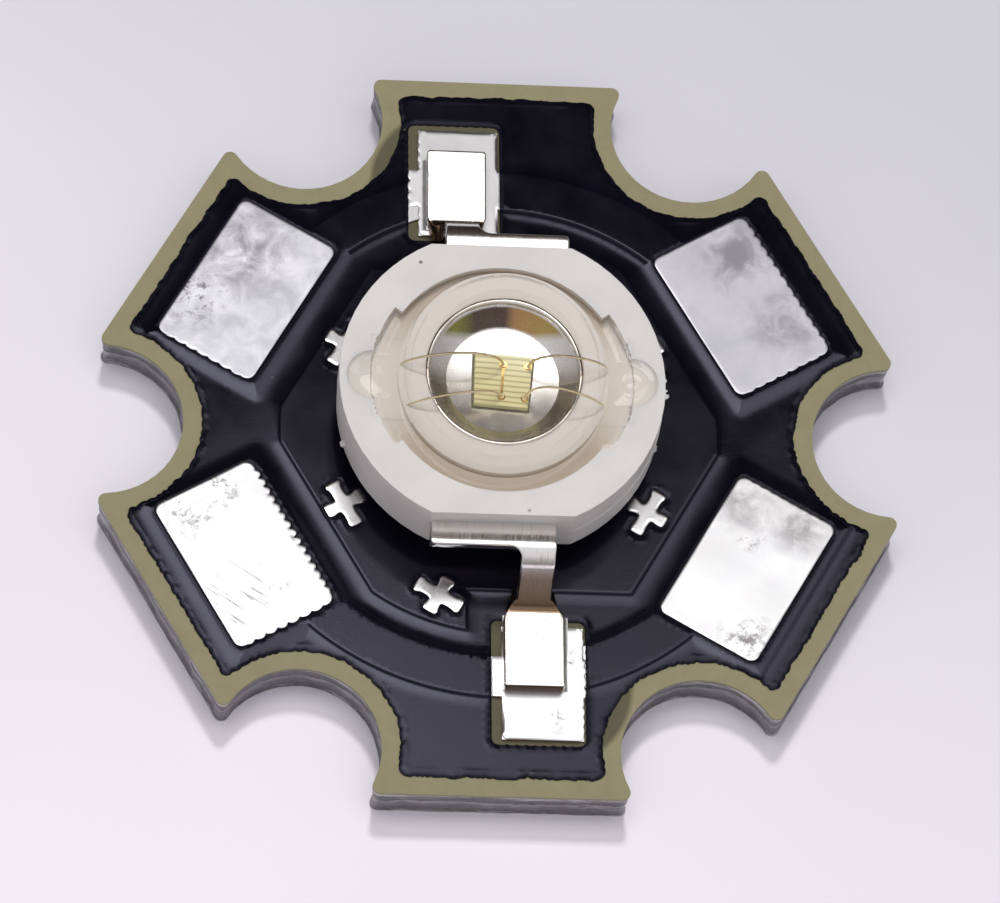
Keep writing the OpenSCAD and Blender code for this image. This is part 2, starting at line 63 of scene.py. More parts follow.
# %% Place the camera
camera_data = bpy.data.cameras.new("camera")
camera_data.lens = 221.46
camera_data.sensor_width = 36
camera_data.shift_x = 0.0008
camera_data.shift_y = -0.0206
camera_data.clip_start = 0.01
camera_data.clip_end = 10
camera = bpy.data.objects.new("camera", camera_data)
bpy.context.collection.objects.link(camera)
look = Vector((0.08696, 0.41171, -0.90716))
right = Vector((0.99570, -0.00681, 0.09236))
up = Vector((-0.03185, 0.91129, 0.41053))
turn = Matrix((right, up, -look)).transposed().to_4x4()
place = Vector((-13.692, -64.823, 144.030)) * MM
camera.matrix_world = Matrix.Translation(place) @ turn
bpy.context.scene.camera = camera
bpy.context.scene.view_settings.view_transform = "Standard"
print("camera distance in mm:", round(camera.location.length / MM, 1))

# %% [markdown]
# The board lies on a pale, slightly lavender sheet. Two soft lamps hang overhead side by side, the left
# one stronger. Their rear edge matters for shiny things: the tin at the front mirrors the lamps, and
# the lacquer at the rear mirrors the dark room behind and so looks nearly black. A small lamp high at
# the rear throws the shadow that falls to the front on the sheet. It is kept out of reflections and of
# the lens, so that it does not sparkle there. The room is a world shader, brighter with height and dark
# to the rear. A Mix node of colours takes its two colours in sockets 6 and 7 and gives the result in 2.

# %% Floor, lamps and room
LAMP_HEIGHT = 260
REAR_LAMP_BACK = 150
MIX_FIRST, MIX_SECOND, MIX_RESULT = 6, 7, 2

floor_mesh = bpy.data.meshes.new("floor")
floor_mesh.from_pydata([(-1, -1, 0), (1, -1, 0), (1, 1, 0), (-1, 1, 0)], [], [(0, 1, 2, 3)])
floor = bpy.data.objects.new("floor", floor_mesh)
bpy.context.collection.objects.link(floor)


def hang_lamp(name, x, y, width, depth, watts):
    lamp_data = bpy.data.lights.new(name, "AREA")
    lamp_data.shape = "RECTANGLE"
    lamp_data.size = width * MM
    lamp_data.size_y = depth * MM
    lamp_data.energy = watts
    lamp = bpy.data.objects.new(name, lamp_data)
    lamp.location = Vector((x, y, LAMP_HEIGHT)) * MM
    bpy.context.collection.objects.link(lamp)
    print(name, "size in mm:", width, "x", depth)
    return lamp


hang_lamp("left_lamp", -42.5, 55, 115, 100, 0.128)
hang_lamp("right_lamp", 67.5, 55, 105, 100, 0.054)
rear_lamp = hang_lamp("rear_lamp", 0, REAR_LAMP_BACK, 36, 36, 0.345)
rear_lamp.rotation_euler = (-math.atan2(REAR_LAMP_BACK, LAMP_HEIGHT), 0, 0)
rear_lamp.visible_glossy = False
rear_lamp.visible_transmission = False

world = bpy.data.worlds.new("room")
bpy.context.scene.world = world
world.use_nodes = True
sky = world.node_tree
sky.nodes.clear()


def add_ramp(tree, value, stops, easing="LINEAR"):
    node = tree.nodes.new("ShaderNodeValToRGB")
    node.color_ramp.interpolation = easing
    marks = node.color_ramp.elements
    while len(marks) < len(stops):
        marks.new(0.5)
    for mark, (position, color) in zip(marks, stops):
        mark.position = position
        mark.color = (*color, 1)
    tree.links.new(value, node.inputs["Fac"])
    return node.outputs["Color"]


def sky_facing(direction, stops):
    facing = sky.nodes.new("ShaderNodeVectorMath")
    facing.operation = "DOT_PRODUCT"
    facing.inputs[1].default_value = direction
    sky.links.new(sky_coordinates.outputs["Generated"], facing.inputs[0])
    return add_ramp(sky, facing.outputs["Value"], stops, "EASE")


sky_coordinates = sky.nodes.new("ShaderNodeTexCoord")
by_height = sky_facing((0, 0, 1), [(0.0, (0.18, 0.165, 0.16)), (0.35, (0.37, 0.36, 0.36)),
                                  (0.75, (0.68, 0.67, 0.70)), (1.0, (0.73, 0.73, 0.77))])
to_rear = sky_facing((0, 1, 0), [(0.05, (1, 1, 1)), (0.40, (0.08, 0.06, 0.05))])
sky_mix = sky.nodes.new("ShaderNodeMix")
sky_mix.data_type = "RGBA"
sky_mix.blend_type = "MULTIPLY"
sky_mix.inputs["Factor"].default_value = 1
sky_back = sky.nodes.new("ShaderNodeBackground")
sky_out = sky.nodes.new("ShaderNodeOutputWorld")
sky.links.new(by_height, sky_mix.inputs[MIX_FIRST])
sky.links.new(to_rear, sky_mix.inputs[MIX_SECOND])
sky.links.new(sky_mix.outputs[MIX_RESULT], sky_back.inputs["Color"])
sky.links.new(sky_back.outputs["Background"], sky_out.inputs["Surface"])
print("room ready")

# %% [markdown]
# Every finish starts from the same few parts: a Principled shader, the place of a point in millimetres,
# and noise that is stretched through a colour ramp. A small class keeps them together, so that each
# finish below reads as a short recipe. The solids keep their place in their vertices, so Object
# coordinates are the place in metres.

# %% Recipe class for finishes
NOISE_LOW = 0.3
NOISE_HIGH = 0.7


class Finish:
    def __init__(self, name):
        self.material = bpy.data.materials.new(name)
        self.material.use_nodes = True
        self.tree = self.material.node_tree
        self.shader = self.tree.nodes["Principled BSDF"]
        place = self.tree.nodes.new("ShaderNodeTexCoord")
        self.place = self.add("ShaderNodeMapping", Scale=(1 / MM, 1 / MM, 1 / MM))
        self.tree.links.new(place.outputs["Object"], self.place.inputs["Vector"])

    def set(self, node=None, **values):
        for socket, value in values.items():
            (node or self.shader).inputs[socket.replace("_", " ")].default_value = value

    def add(self, kind, **values):
        node = self.tree.nodes.new(kind)
        self.set(node, **values)
        return node

    def join(self, value, socket):
        if isinstance(value, tuple):
            socket.default_value = (*value, 1)
        elif isinstance(value, (int, float)):
            socket.default_value = value
        else:
            self.tree.links.new(value, socket)

    def feed(self, socket, value):
        self.join(value, self.shader.inputs[socket])

    def turned(self, degrees=(0, 0, 0), scale=(1, 1, 1)):
        radians = [math.radians(d) for d in degrees]
        node = self.add("ShaderNodeMapping", Rotation=radians)
        node.vector_type = "TEXTURE"
        node.inputs["Scale"].default_value = [1 / s for s in scale]
        self.join(self.place.outputs["Vector"], node.inputs["Vector"])
        return node.outputs["Vector"]

    def noise(self, scale, detail=3, roughness=0.55, warp=0, at=None):
        node = self.add("ShaderNodeTexNoise", Scale=scale, Detail=detail, Roughness=roughness,
                        Distortion=warp)
        self.join(at or self.place.outputs["Vector"], node.inputs["Vector"])
        return node.outputs["Fac"]

    def ramp(self, value, stops):
        return add_ramp(self.tree, value, stops)

    def mottle(self, noise, first, second):
        return self.ramp(noise, [(NOISE_LOW, first), (NOISE_HIGH, second)])

    def levels(self, value, low, high, to_low, to_high):
        node = self.add("ShaderNodeMapRange", From_Min=low, From_Max=high, To_Min=to_low, To_Max=to_high)
        self.join(value, node.inputs["Value"])
        return node.outputs["Result"]

    def spread(self, noise, to_low, to_high):
        return self.levels(noise, NOISE_LOW, NOISE_HIGH, to_low, to_high)

    def flipped(self, value):
        return self.levels(value, 0, 1, 1, 0)

    def math(self, operation, first, second):
        node = self.add("ShaderNodeMath")
        node.operation = operation
        self.join(first, node.inputs[0])
        self.join(second, node.inputs[1])
        return node.outputs["Value"]

    def both(self, first, second):
        return self.math("MULTIPLY", first, second)

    def either(self, first, second):
        return self.math("MAXIMUM", first, second)

    def blend(self, amount, first, second):
        node = self.add("ShaderNodeMix")
        node.data_type = "RGBA"
        self.join(amount, node.inputs["Factor"])
        self.join(first, node.inputs[MIX_FIRST])
        self.join(second, node.inputs[MIX_SECOND])
        return node.outputs[MIX_RESULT]

    def compared(self, operation, other):
        node = self.add("ShaderNodeVectorMath")
        node.operation = operation
        node.inputs[1].default_value = other
        self.join(self.place.outputs["Vector"], node.inputs[0])
        return node.outputs["Value"]

    def near(self, x, y, inner, outer, height=1.3):
        return self.levels(self.compared("DISTANCE", (x, y, height)), inner, outer, 1, 0)

    def along(self, direction, low, high):
        return self.levels(self.compared("DOT_PRODUCT", direction), low, high, 0, 1)

    def bump(self, value, strength, distance_mm):
        node = self.add("ShaderNodeBump", Strength=strength, Distance=distance_mm * MM)
        self.join(value, node.inputs["Height"])
        self.feed("Normal", node.outputs["Normal"])

    def put_on(self, *objects):
        for thing in objects:
            thing.data.materials.clear()
            thing.data.materials.append(self.material)
        print("finish", self.material.name, "on", len(objects))


sheet = Finish("pale_sheet")
sheet.set(Roughness=0.75)
# The sheet's colour is painted darker towards the rear and brighter towards the front, a painted light
# falloff, with faint random tone on top.
toward_front = sheet.along((-0.35, -0.94, 0), -15, 15)
painted_falloff_and_tone = sheet.math("ADD", toward_front, sheet.spread(sheet.noise(0.05, 2), -0.08, 0.08))
sheet.feed("Base Color", sheet.ramp(painted_falloff_and_tone, [(0.0, (0.65, 0.64, 0.695)), (1.0, (0.97, 0.92, 1.0))]))
sheet.put_on(floor)

# %% [markdown]
# New pieces are made from lists of corners and faces. One helper makes the mesh, sets smooth shading
# with sharp edges kept where two faces meet at a steep angle, and tells the frame that the piece
# belongs to the part.

# %% Helper that makes a piece
def make_piece(name, corners, faces, stands_for, slot, sharp_angle=40):
    mesh = bpy.data.meshes.new(name)
    places = (np.asarray(corners, float) * MM).tolist()
    mesh.from_pydata(places, [], [tuple(map(int, face)) for face in faces])
    mesh.validate()
    mesh.polygons.foreach_set("use_smooth", [True] * len(mesh.polygons))
    mesh.set_sharp_from_angle(angle=math.radians(sharp_angle))
    piece = bpy.data.objects.new(name, mesh)
    bpy.context.collection.objects.link(piece)
    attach(piece, "root")
    if stands_for:
        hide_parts(*stands_for)
    print(name, "has", len(mesh.polygons), "faces")
    return piece


def soften(thing, width_mm, segments=2):
    bevel = thing.modifiers.new("softened_edges", "BEVEL")
    bevel.width = width_mm * MM
    bevel.segments = segments
    bevel.limit_method = "ANGLE"
    bevel.angle_limit = math.radians(40)


# %% [markdown]
# The star has six arms. Its outline is drawn arm by arm: a rounded corner, the flat end, another
# rounded corner, then the half-round screw notch that leads to the next arm. The same function draws it
# smaller for the lacquer, which stops short of the board's edge.

# %% Star outline
BOARD_HALF = 10.0
NOTCH_CENTRE = 10.16
NOTCH_RADIUS = 2.08
CORNER_RADIUS = 0.2
ARMS = 6


def circle(angles):
    return np.stack([np.cos(angles), np.sin(angles)], 1)


def turned_points(points, degrees):
    angle = math.radians(degrees)
    return points @ np.array([[math.cos(angle), -math.sin(angle)], [math.sin(angle), math.cos(angle)]])


def star_outline(inset, step):
    flat = BOARD_HALF - inset
    bite = NOTCH_RADIUS + inset
    notch = np.array([NOTCH_CENTRE * math.cos(math.pi / 6), NOTCH_CENTRE * math.sin(math.pi / 6)])
    corner_u = flat - CORNER_RADIUS
    corner_v = notch[1] - math.sqrt((bite + CORNER_RADIUS) ** 2 - (corner_u - notch[0]) ** 2)
    sweep = math.atan2(notch[1] - corner_v, notch[0] - corner_u)
    corner_steps = max(3, int(CORNER_RADIUS * sweep / step))
    angles = np.linspace(-sweep, 0, corner_steps)
    near = CORNER_RADIUS * circle(angles) + [corner_u, -corner_v]
    far = near[::-1] * [1, -1]
    end_v = np.linspace(-corner_v, corner_v, max(3, int(2 * corner_v / step)))[1:-1]
    end = np.stack([np.full(len(end_v), flat), end_v], 1)
    start_angle = sweep + math.pi
    stop_angle = math.pi / 3 + 2 * math.pi - start_angle
    angles = np.linspace(start_angle, stop_angle, int(abs(start_angle - stop_angle) * bite / step))[1:-1]
    hollow = notch + bite * circle(angles)
    arm = np.concatenate([near, end, far, hollow])
    return np.concatenate([turned_points(arm, -30 - 60 * k) for k in range(ARMS)])


board_edge = star_outline(0, 0.06)
print("points along the board's edge:", len(board_edge))

# %% [markdown]
# The aluminium plate was punched out of a sheet. A punch leaves a smooth rolled band at the top of the
# cut, a torn rough band below it and a thin burr at the bottom. The side wall is built as a stack of
# rings whose points are pushed in and out by a little noise, never past the board's outline, so that
# the tears catch the light as real metal does.

# %% Punched aluminium plate
PLATE_TOP = 1.1
EDGE_BACK = 0.02
DEEPEST_TEAR = -0.11
# Height, push and tear of each ring of the wall
WALL_BANDS = [(PLATE_TOP, 0.0, 0.0), (1.06, 0.0, 0.002), (0.98, 0.0, 0.004), (0.86, -0.004, 0.006),
              (0.72, -0.010, 0.010), (0.60, -0.022, 0.016), (0.46, -0.028, 0.020), (0.32, -0.026, 0.020),
              (0.20, -0.016, 0.018), (0.11, 0.002, 0.012), (0.06, 0.012, 0.010), (0.015, 0.012, 0.008),
              (0.0, -0.03, 0.004)]


def outward(loop):
    along = np.roll(loop, -1, 0) - np.roll(loop, 1, 0)
    normal = np.stack([along[:, 1], -along[:, 0]], 1)
    return normal / np.linalg.norm(normal, axis=1)[:, None]


def smooth_noise(count, length):
    rough = dice.normal(size=count)
    window = np.hanning(length + 2)[1:-1]
    wide = np.concatenate([rough[-length:], rough, rough[:length]])
    smooth = np.convolve(wide, window, "same")[length:-length]
    return smooth / smooth.std()


def wall_faces(rings, count, closed=False):
    faces = []
    for ring in range(rings if closed else rings - 1):
        here, there = ring * count, (ring + 1) % rings * count
        for k in range(count):
            after = (k + 1) % count
            faces.append((here + k, there + k, there + after, here + after))
    return faces


edge_out = outward(board_edge)
count = len(board_edge)
slow = smooth_noise(count, 9)
plate_corners = []
for height, push, tear in WALL_BANDS:
    shift = push + tear * (0.5 * slow + 0.5 * smooth_noise(count, 4))
    shift = np.clip(shift - EDGE_BACK, DEEPEST_TEAR, 0.0)
    ring = board_edge + edge_out * shift[:, None]
    lift = 0.4 * tear * smooth_noise(count, 5) if 0.05 < height < PLATE_TOP - 0.05 else np.zeros(count)
    plate_corners.append(np.column_stack([ring, height + lift]))
plate_faces = wall_faces(len(WALL_BANDS), count)
plate_faces.append(tuple(range(count)))
plate_faces.append(tuple(range(len(WALL_BANDS) * count - 1, (len(WALL_BANDS) - 1) * count - 1, -1)))
plate = make_piece("punched_plate", np.concatenate(plate_corners), plate_faces, ["aluminium_base"],
                   "aluminium", 50)

sheared = Finish("sheared_aluminium")
sheared.set(Metallic=1.0)
streaks = sheared.noise(1.6, 4, 0.6, 0.3, sheared.turned(scale=(0.6, 0.6, 4)))
# The metal's colour is banded by height, because the rolled and torn bands of a punched edge differ. The
# bright bands at the top edge, along the middle and at the bottom burr are painted glints.
bands_and_painted_glints = sheared.math("ADD", sheared.along((0, 0, 1), 0, PLATE_TOP), sheared.spread(streaks, -0.16, 0.16))
sheared.feed("Base Color", sheared.ramp(bands_and_painted_glints, [(0.0, (0.50, 0.49, 0.50)), (0.10, (0.20, 0.19, 0.20)),
                                                 (0.38, (0.30, 0.29, 0.30)), (0.55, (0.46, 0.45, 0.46)),
                                                 (0.62, (0.17, 0.16, 0.17)), (0.86, (0.24, 0.23, 0.24)),
                                                 (0.97, (0.56, 0.55, 0.56))]))
sheared.feed("Roughness", sheared.spread(sheared.noise(9, 3), 0.32, 0.58))
sheared.bump(sheared.noise(26, 4, 0.7), 0.5, 0.02)
sheared.put_on(plate)

# %% [markdown]
# The insulating layer is a thin sheet of filled resin between the plate and the copper. It shows as an
# olive border round the lacquer. Its solid has the right shape already, so it only gets a finish: a
# mottled olive with fine grain, darker in the openings beside the leads.

# %% Olive insulating layer
olive = Finish("olive_resin")
olive.set(Specular_IOR_Level=0.35)
patches = olive.noise(1.6, 4, 0.6)
fibres = olive.noise(14, 3, 0.6)
mottled = olive.mottle(patches, (0.220, 0.198, 0.106), (0.285, 0.258, 0.142))
open_resin = olive.blend(fibres, mottled, (0.310, 0.282, 0.170))
by_leads = olive.either(*[olive.near(x, y, 2.2, 2.35, 1.2) for x, y in ((1.04, -6.97), (-1.04, 6.97))])
olive.feed("Base Color", olive.blend(by_leads, open_resin, (0.110, 0.098, 0.055)))
olive.feed("Roughness", olive.spread(fibres, 0.45, 0.65))
olive.bump(fibres, 0.25, 0.01)
olive.put_on(solids["dielectric_layer"])
soften(solids["dielectric_layer"], 0.025)

# %% [markdown]
# The copper foil is covered by lacquer and tin, so only thin edges of it show. They stay red, while the
# upper face of the foil is tinned grey wherever the lacquer leaves a sliver of it bare. The height of a
# point tells the two apart.

# %% Copper foil
copper = Finish("rolled_copper")
copper.set(Metallic=1.0)
rolled = copper.noise(6, 3, 0.5, 0, copper.turned(scale=(1, 12, 1)))
red = copper.mottle(rolled, (0.62, 0.30, 0.18), (0.80, 0.44, 0.28))
tinned = copper.along((0, 0, 1), 1.262, 1.268)
copper.feed("Base Color", copper.blend(tinned, red, (0.80, 0.79, 0.80)))
copper.feed("Roughness", copper.spread(rolled, 0.28, 0.42))
copper.put_on(solids["heat_plane"], solids["front_trace"], solids["rear_trace"])

# %% [markdown]
# Under the lacquer lie a heat plane in the middle, a ring in two halves and the pads. The lacquer is
# thinner where there is no copper, so the copper's edges show as low steps. A signed distance says how
# far each point is from the copper: negative over it and positive beside it. Each copper shape has a
# short formula, and the smallest distance wins. The pads can be left out, because thick ink round them
# hides their edge in a gentler slope.

# %% Distance to the copper
PAD_TURNS = {"front_left": -150, "front_right": -30, "rear_left": 150, "rear_right": 30}
SLIP = np.array([-0.10, 0.03])
PLANE_RADIUS = 5.62
PLANE_HALF = 5.10
PLANE_STEP = (-0.88, -4.45)
RING_INNER = 6.28
RING_OUTER = 7.35
LEAD_LEFT = 0.01
LEAD_RIGHT = 2.07


def box_distance(points, low, high):
    middle = (np.array(low) + np.array(high)) / 2
    beyond = np.abs(points - middle) - (np.array(high) - np.array(low)) / 2
    return np.linalg.norm(np.maximum(beyond, 0), axis=1) + np.minimum(beyond.max(1), 0)


def copper_distance(points, with_pads=True):
    radius = np.linalg.norm(points, axis=1)
    found = radius - PLANE_RADIUS
    for degrees in (30, -30):
        found = np.maximum(found, np.abs(turned_points(points, degrees)[:, 0]) - PLANE_HALF)
    for half in (points, -points):
        found = np.maximum(found, np.minimum(half[:, 0] - PLANE_STEP[0], PLANE_STEP[1] - half[:, 1]))
    ring = np.maximum(RING_INNER - radius, radius - RING_OUTER)
    for half in (points, -points):
        sector = math.cos(math.pi / 6) * half[:, 1] + math.sin(math.pi / 6) * np.abs(half[:, 0])
        found = np.minimum(found, np.maximum(ring, sector))
        found = np.minimum(found, box_distance(half, (LEAD_LEFT, -8.5), (LEAD_RIGHT, -5.45)))
    if with_pads:
        for degrees in PAD_TURNS.values():
            pad = box_distance(turned_points(points, degrees), (5.82, -2.38), (8.98, 2.38))
            found = np.minimum(found, pad)
    return found


print("copper distance at the centre:", round(float(copper_distance(np.zeros((1, 2)))[0]), 2))

# %% [markdown]
# The lacquer was printed from coarse artwork, so its slanted edges are stepped like a row of scallops.
# An edge helper takes a straight line and bites a row of shallow scallops out of it, a little unevenly.
# Corners of the openings are rounded, because thick ink never holds a sharp corner.

# %% Scalloped and rounded outlines
def scalloped(start, stop, period, depth):
    start, stop = np.array(start, float), np.array(stop, float)
    length = np.linalg.norm(stop - start)
    along = (stop - start) / length
    side = np.array([along[1], -along[0]])
    steps = max(2, int(length / 0.03))
    place = np.linspace(0, length, steps, endpoint=False)
    if depth == 0:
        return start + place[:, None] * along
    drift = np.cumsum(1 + 0.12 * dice.normal(size=steps)) * (length / steps)
    wave = np.abs(np.sin(math.pi * drift / period)) ** 0.6
    knots = np.arange(0, length + 1, 0.6)
    size = depth * (1 + 0.25 * np.interp(place, knots, dice.normal(size=len(knots))))
    fade = np.clip(np.minimum(place, length - place) / 0.15, 0, 1)
    return start + place[:, None] * along + side * ((wave - 0.6) * size * fade)[:, None]


def rounded_box(low, high, radius, teeth=None):
    teeth = teeth or {}
    (left, front), (right_x, rear) = low, high
    near_x, far_x = left + radius, right_x - radius
    near_y, far_y = front + radius, rear - radius
    sides = [("front", (near_x, front), (far_x, front), (far_x, near_y), -90),
             ("right", (right_x, near_y), (right_x, far_y), (far_x, far_y), 0),
             ("rear", (far_x, rear), (near_x, rear), (near_x, far_y), 90),
             ("left", (left, far_y), (left, near_y), (near_x, near_y), 180)]
    points = []
    for name, start, stop, centre, first in sides:
        points.append(scalloped(start, stop, *teeth.get(name, (0.3, 0))))
        arc = np.radians(np.linspace(first, first + 90, 6, endpoint=False))
        points.append(np.array(centre) + radius * circle(arc))
    return np.concatenate(points)


PAD_TEETH = {"front_left": {"left": (0.26, 0.10), "rear": (0.33, 0.07)},
             "front_right": {"rear": (0.28, 0.02)},
             "rear_left": {"rear": (0.33, 0.05)},
             "rear_right": {"right": (0.33, 0.06), "front": (0.33, 0.05)}}
PAD_LOW = (6.0, -2.2)
PAD_HIGH = (8.8, 2.2)
pad_outlines = {}
for name, degrees in PAD_TURNS.items():
    outline = rounded_box(PAD_LOW, PAD_HIGH, 0.22, PAD_TEETH[name])
    pad_outlines[name] = turned_points(outline, -degrees) + SLIP
print("wire pads drawn:", len(pad_outlines))

# %% [markdown]
# The lead pads are smaller. Their openings in the lacquer are a little larger than the copper, so a
# strip of olive board shows beside them, and the ring of copper crosses each opening as a tab. The tin
# covers only copper, so its outline is the pad with that tab.

# %% Lead pads, crosses and the emitter's own pad
def corner_arc(centre, first, radius=0.14):
    angles = np.radians(np.linspace(first, first + 90, 6))
    return np.array(centre) + radius * circle(angles)


def tab(sign, reach, teeth):
    base = LEAD_RIGHT if sign > 0 else LEAD_LEFT
    edge = base + sign * reach
    blunt = edge - sign * 0.03
    side = scalloped((edge, -7.31), (edge, -6.32), 0.29, teeth)
    loop = np.concatenate([[(base, -RING_OUTER), (blunt, -RING_OUTER)], side,
                           [(blunt, -RING_INNER), (base, -RING_INNER)]])
    return loop if sign > 0 else loop[::-1]


def lead_pad_outline(left_reach, right_reach):
    low_right = scalloped((LEAD_RIGHT, -8.36), (LEAD_RIGHT, -7.40), 0.28, 0.06)
    high_right = scalloped((LEAD_RIGHT, -6.22), (LEAD_RIGHT, -5.62), 0.28, 0.05)
    parts = [corner_arc((1.93, -8.36), -90), low_right, tab(1, right_reach, 0.07), high_right,
             corner_arc((1.93, -5.59), 0), corner_arc((0.15, -5.59), 90), tab(-1, left_reach, 0.02),
             corner_arc((0.15, -8.36), 180)]
    return np.concatenate(parts)


def rounded_loop(loop):
    for _ in range(2):
        after = np.roll(loop, -1, 0)
        loop = np.stack([0.75 * loop + 0.25 * after, 0.25 * loop + 0.75 * after], 1).reshape(-1, 2)
    return loop


def cross_outline(centre, degrees):
    points = []
    for turn_by, length in ((0, 1.04), (90, 1.30), (180, 1.04), (270, 1.30)):
        end = length / 2
        wide = 0.195 * (1 + 0.10 * np.clip(dice.normal(), -1, 1))
        edge = np.array([(0.20, 0.165), (end - 0.27, 0.155), (end - 0.16, 0.175), (end - 0.12, wide),
                         (end - 0.05, wide), (end - 0.005, 0.8 * wide), (end, 0.3 * wide)])
        points.append(turned_points(np.concatenate([edge * [1, -1], edge[::-1]]), -turn_by - degrees))
    return rounded_loop(np.concatenate(points)) + centre


lead_outlines = {"front": lead_pad_outline(0.255, 0.055), "rear": -lead_pad_outline(0.055, 0.255)}
OPENING_LOW = (-0.15, -8.66)
OPENING_HIGH = (2.23, -5.29)
OPENING_TEETH = {"front": (0.24, 0.03), "right": (0.26, 0.02)}
lead_openings = {}
for side, sign in (("front", 1), ("rear", -1)):
    box = rounded_box(OPENING_LOW, OPENING_HIGH, 0.17, OPENING_TEETH)
    lead_openings[side] = sign * box + SLIP


def at_angle(radius, degrees):
    return radius * np.array([math.cos(math.radians(degrees)), math.sin(math.radians(degrees))])


PAD_CROSS_REACH = 4.47
LEAD_CROSS_REACH = 4.90
LEAD_CROSS_PLACES = (-107.5, 72.5)
LEAD_CROSS_TURN = 12.5
SLUG_OPENING = 3.05
cross_places = [(PAD_CROSS_REACH, degrees, degrees) for degrees in PAD_TURNS.values()]
cross_places += [(LEAD_CROSS_REACH, degrees, degrees - LEAD_CROSS_TURN) for degrees in LEAD_CROSS_PLACES]
cross_outlines = [cross_outline(at_angle(reach, at) + SLIP, turn_by) for reach, at, turn_by in cross_places]
ring_angles = np.linspace(0, 2 * math.pi, 120, endpoint=False)
slug_opening = SLUG_OPENING * circle(ring_angles) + SLIP
print("crosses drawn:", len(cross_outlines))

# %% [markdown]
# To fill an outline with holes, Blender's own triangulation takes the outlines as fixed edges and a
# cloud of points between them. Triangles outside the outer loop or inside a hole are dropped by an
# even-odd test. The result can then be lifted point by point, which is how the lacquer gets its steps
# and the tin its crown.

# %% Fill outlines with triangles
def inside(points, loop):
    answer = np.zeros(len(points), bool)
    low, high = loop.min(0), loop.max(0)
    near = np.where(((points >= low) & (points <= high)).all(1))[0]
    start, stop = loop, np.roll(loop, -1, 0)
    for chunk in np.array_split(near, max(1, len(near) // 4000)):
        x, y = points[chunk, 0][:, None], points[chunk, 1][:, None]
        crosses = (start[:, 1] > y) != (stop[:, 1] > y)
        rise = np.where(stop[:, 1] == start[:, 1], 1, stop[:, 1] - start[:, 1])
        hit = start[:, 0] + (y - start[:, 1]) * (stop[:, 0] - start[:, 0]) / rise
        answer[chunk] = ((crosses & (x < hit)).sum(1) % 2).astype(bool)
    return answer


def distance_to_loops(points, loops):
    best = np.full(len(points), 9.0)
    for loop in loops:
        start, along = loop, np.roll(loop, -1, 0) - loop
        low, high = loop.min(0) - 0.5, loop.max(0) + 0.5
        near = np.where(((points >= low) & (points <= high)).all(1))[0]
        for chunk in np.array_split(near, max(1, len(near) // 3000)):
            offset = points[chunk][:, None, :] - start[None]
            share = np.clip((offset * along).sum(2) / np.maximum((along ** 2).sum(1), 1e-12), 0, 1)
            gap = np.linalg.norm(offset - share[:, :, None] * along, axis=2).min(1)
            best[chunk] = np.minimum(best[chunk], gap)
    return best


def fill(outer, holes, cloud):
    loops = [outer, *holes]
    keep = inside(cloud, outer)
    for hole in holes:
        keep &= ~inside(cloud, hole)
    cloud = cloud[keep]
    cloud = cloud[distance_to_loops(cloud, loops) > 0.012]
    points = np.concatenate([*loops, cloud])
    edges = []
    begin = 0
    for loop in loops:
        edges += [(begin + k, begin + (k + 1) % len(loop)) for k in range(len(loop))]
        begin += len(loop)
    found = delaunay_2d_cdt([Vector(p) for p in points], edges, [], 0, 1e-7, False)
    flat = np.array([tuple(p) for p in found[0]])
    triangles = np.array([face for face in found[2] if len(face) == 3])
    centres = flat[triangles].mean(1)
    wanted = inside(centres, outer)
    for hole in holes:
        wanted &= ~inside(centres, hole)
    return flat, triangles[wanted]


def lifted_sheet(flat, triangles, top, bottom):
    edges = {}
    for a, b, c in triangles:
        for edge in ((a, b), (b, c), (c, a)):
            edges[edge] = True
    rim = [edge for edge in edges if (edge[1], edge[0]) not in edges]
    count = len(flat)
    upper = np.column_stack([flat, top])
    lower = np.column_stack([flat, np.full(count, bottom)])
    faces = [tuple(t) for t in triangles]
    faces += [(c + count, b + count, a + count) for a, b, c in triangles]
    faces += [(b, a, a + count, b + count) for a, b in rim]
    return np.concatenate([upper, lower]), faces


def hexagon_cloud(low, high, step):
    rows = np.arange(low[1], high[1], step * 0.866)
    points = []
    for k, row in enumerate(rows):
        column = np.arange(low[0] + (k % 2) * step / 2, high[0], step)
        points.append(np.stack([column, np.full(len(column), row)], 1))
    return np.concatenate(points)


def rimmed_fill(outline, step, margin, insets):
    middle = hexagon_cloud(outline.min(0), outline.max(0), step)
    middle = middle[distance_to_loops(middle, [outline]) > margin]
    rings = [outline - outward(outline) * inset for inset in insets]
    flat, triangles = fill(outline, [], np.concatenate([middle, *rings]))
    return flat, triangles, distance_to_loops(flat, [outline])


def joined(sheets):
    corners, faces = [], []
    for sheet_corners, sheet_faces in sheets:
        start = sum(len(c) for c in corners)
        corners.append(sheet_corners)
        faces += [tuple(start + k for k in face) for face in sheet_faces]
    return np.concatenate(corners), faces


def gentle(share):
    share = np.clip(share, 0, 1)
    return share * share * (3 - 2 * share)


print("fill ready")
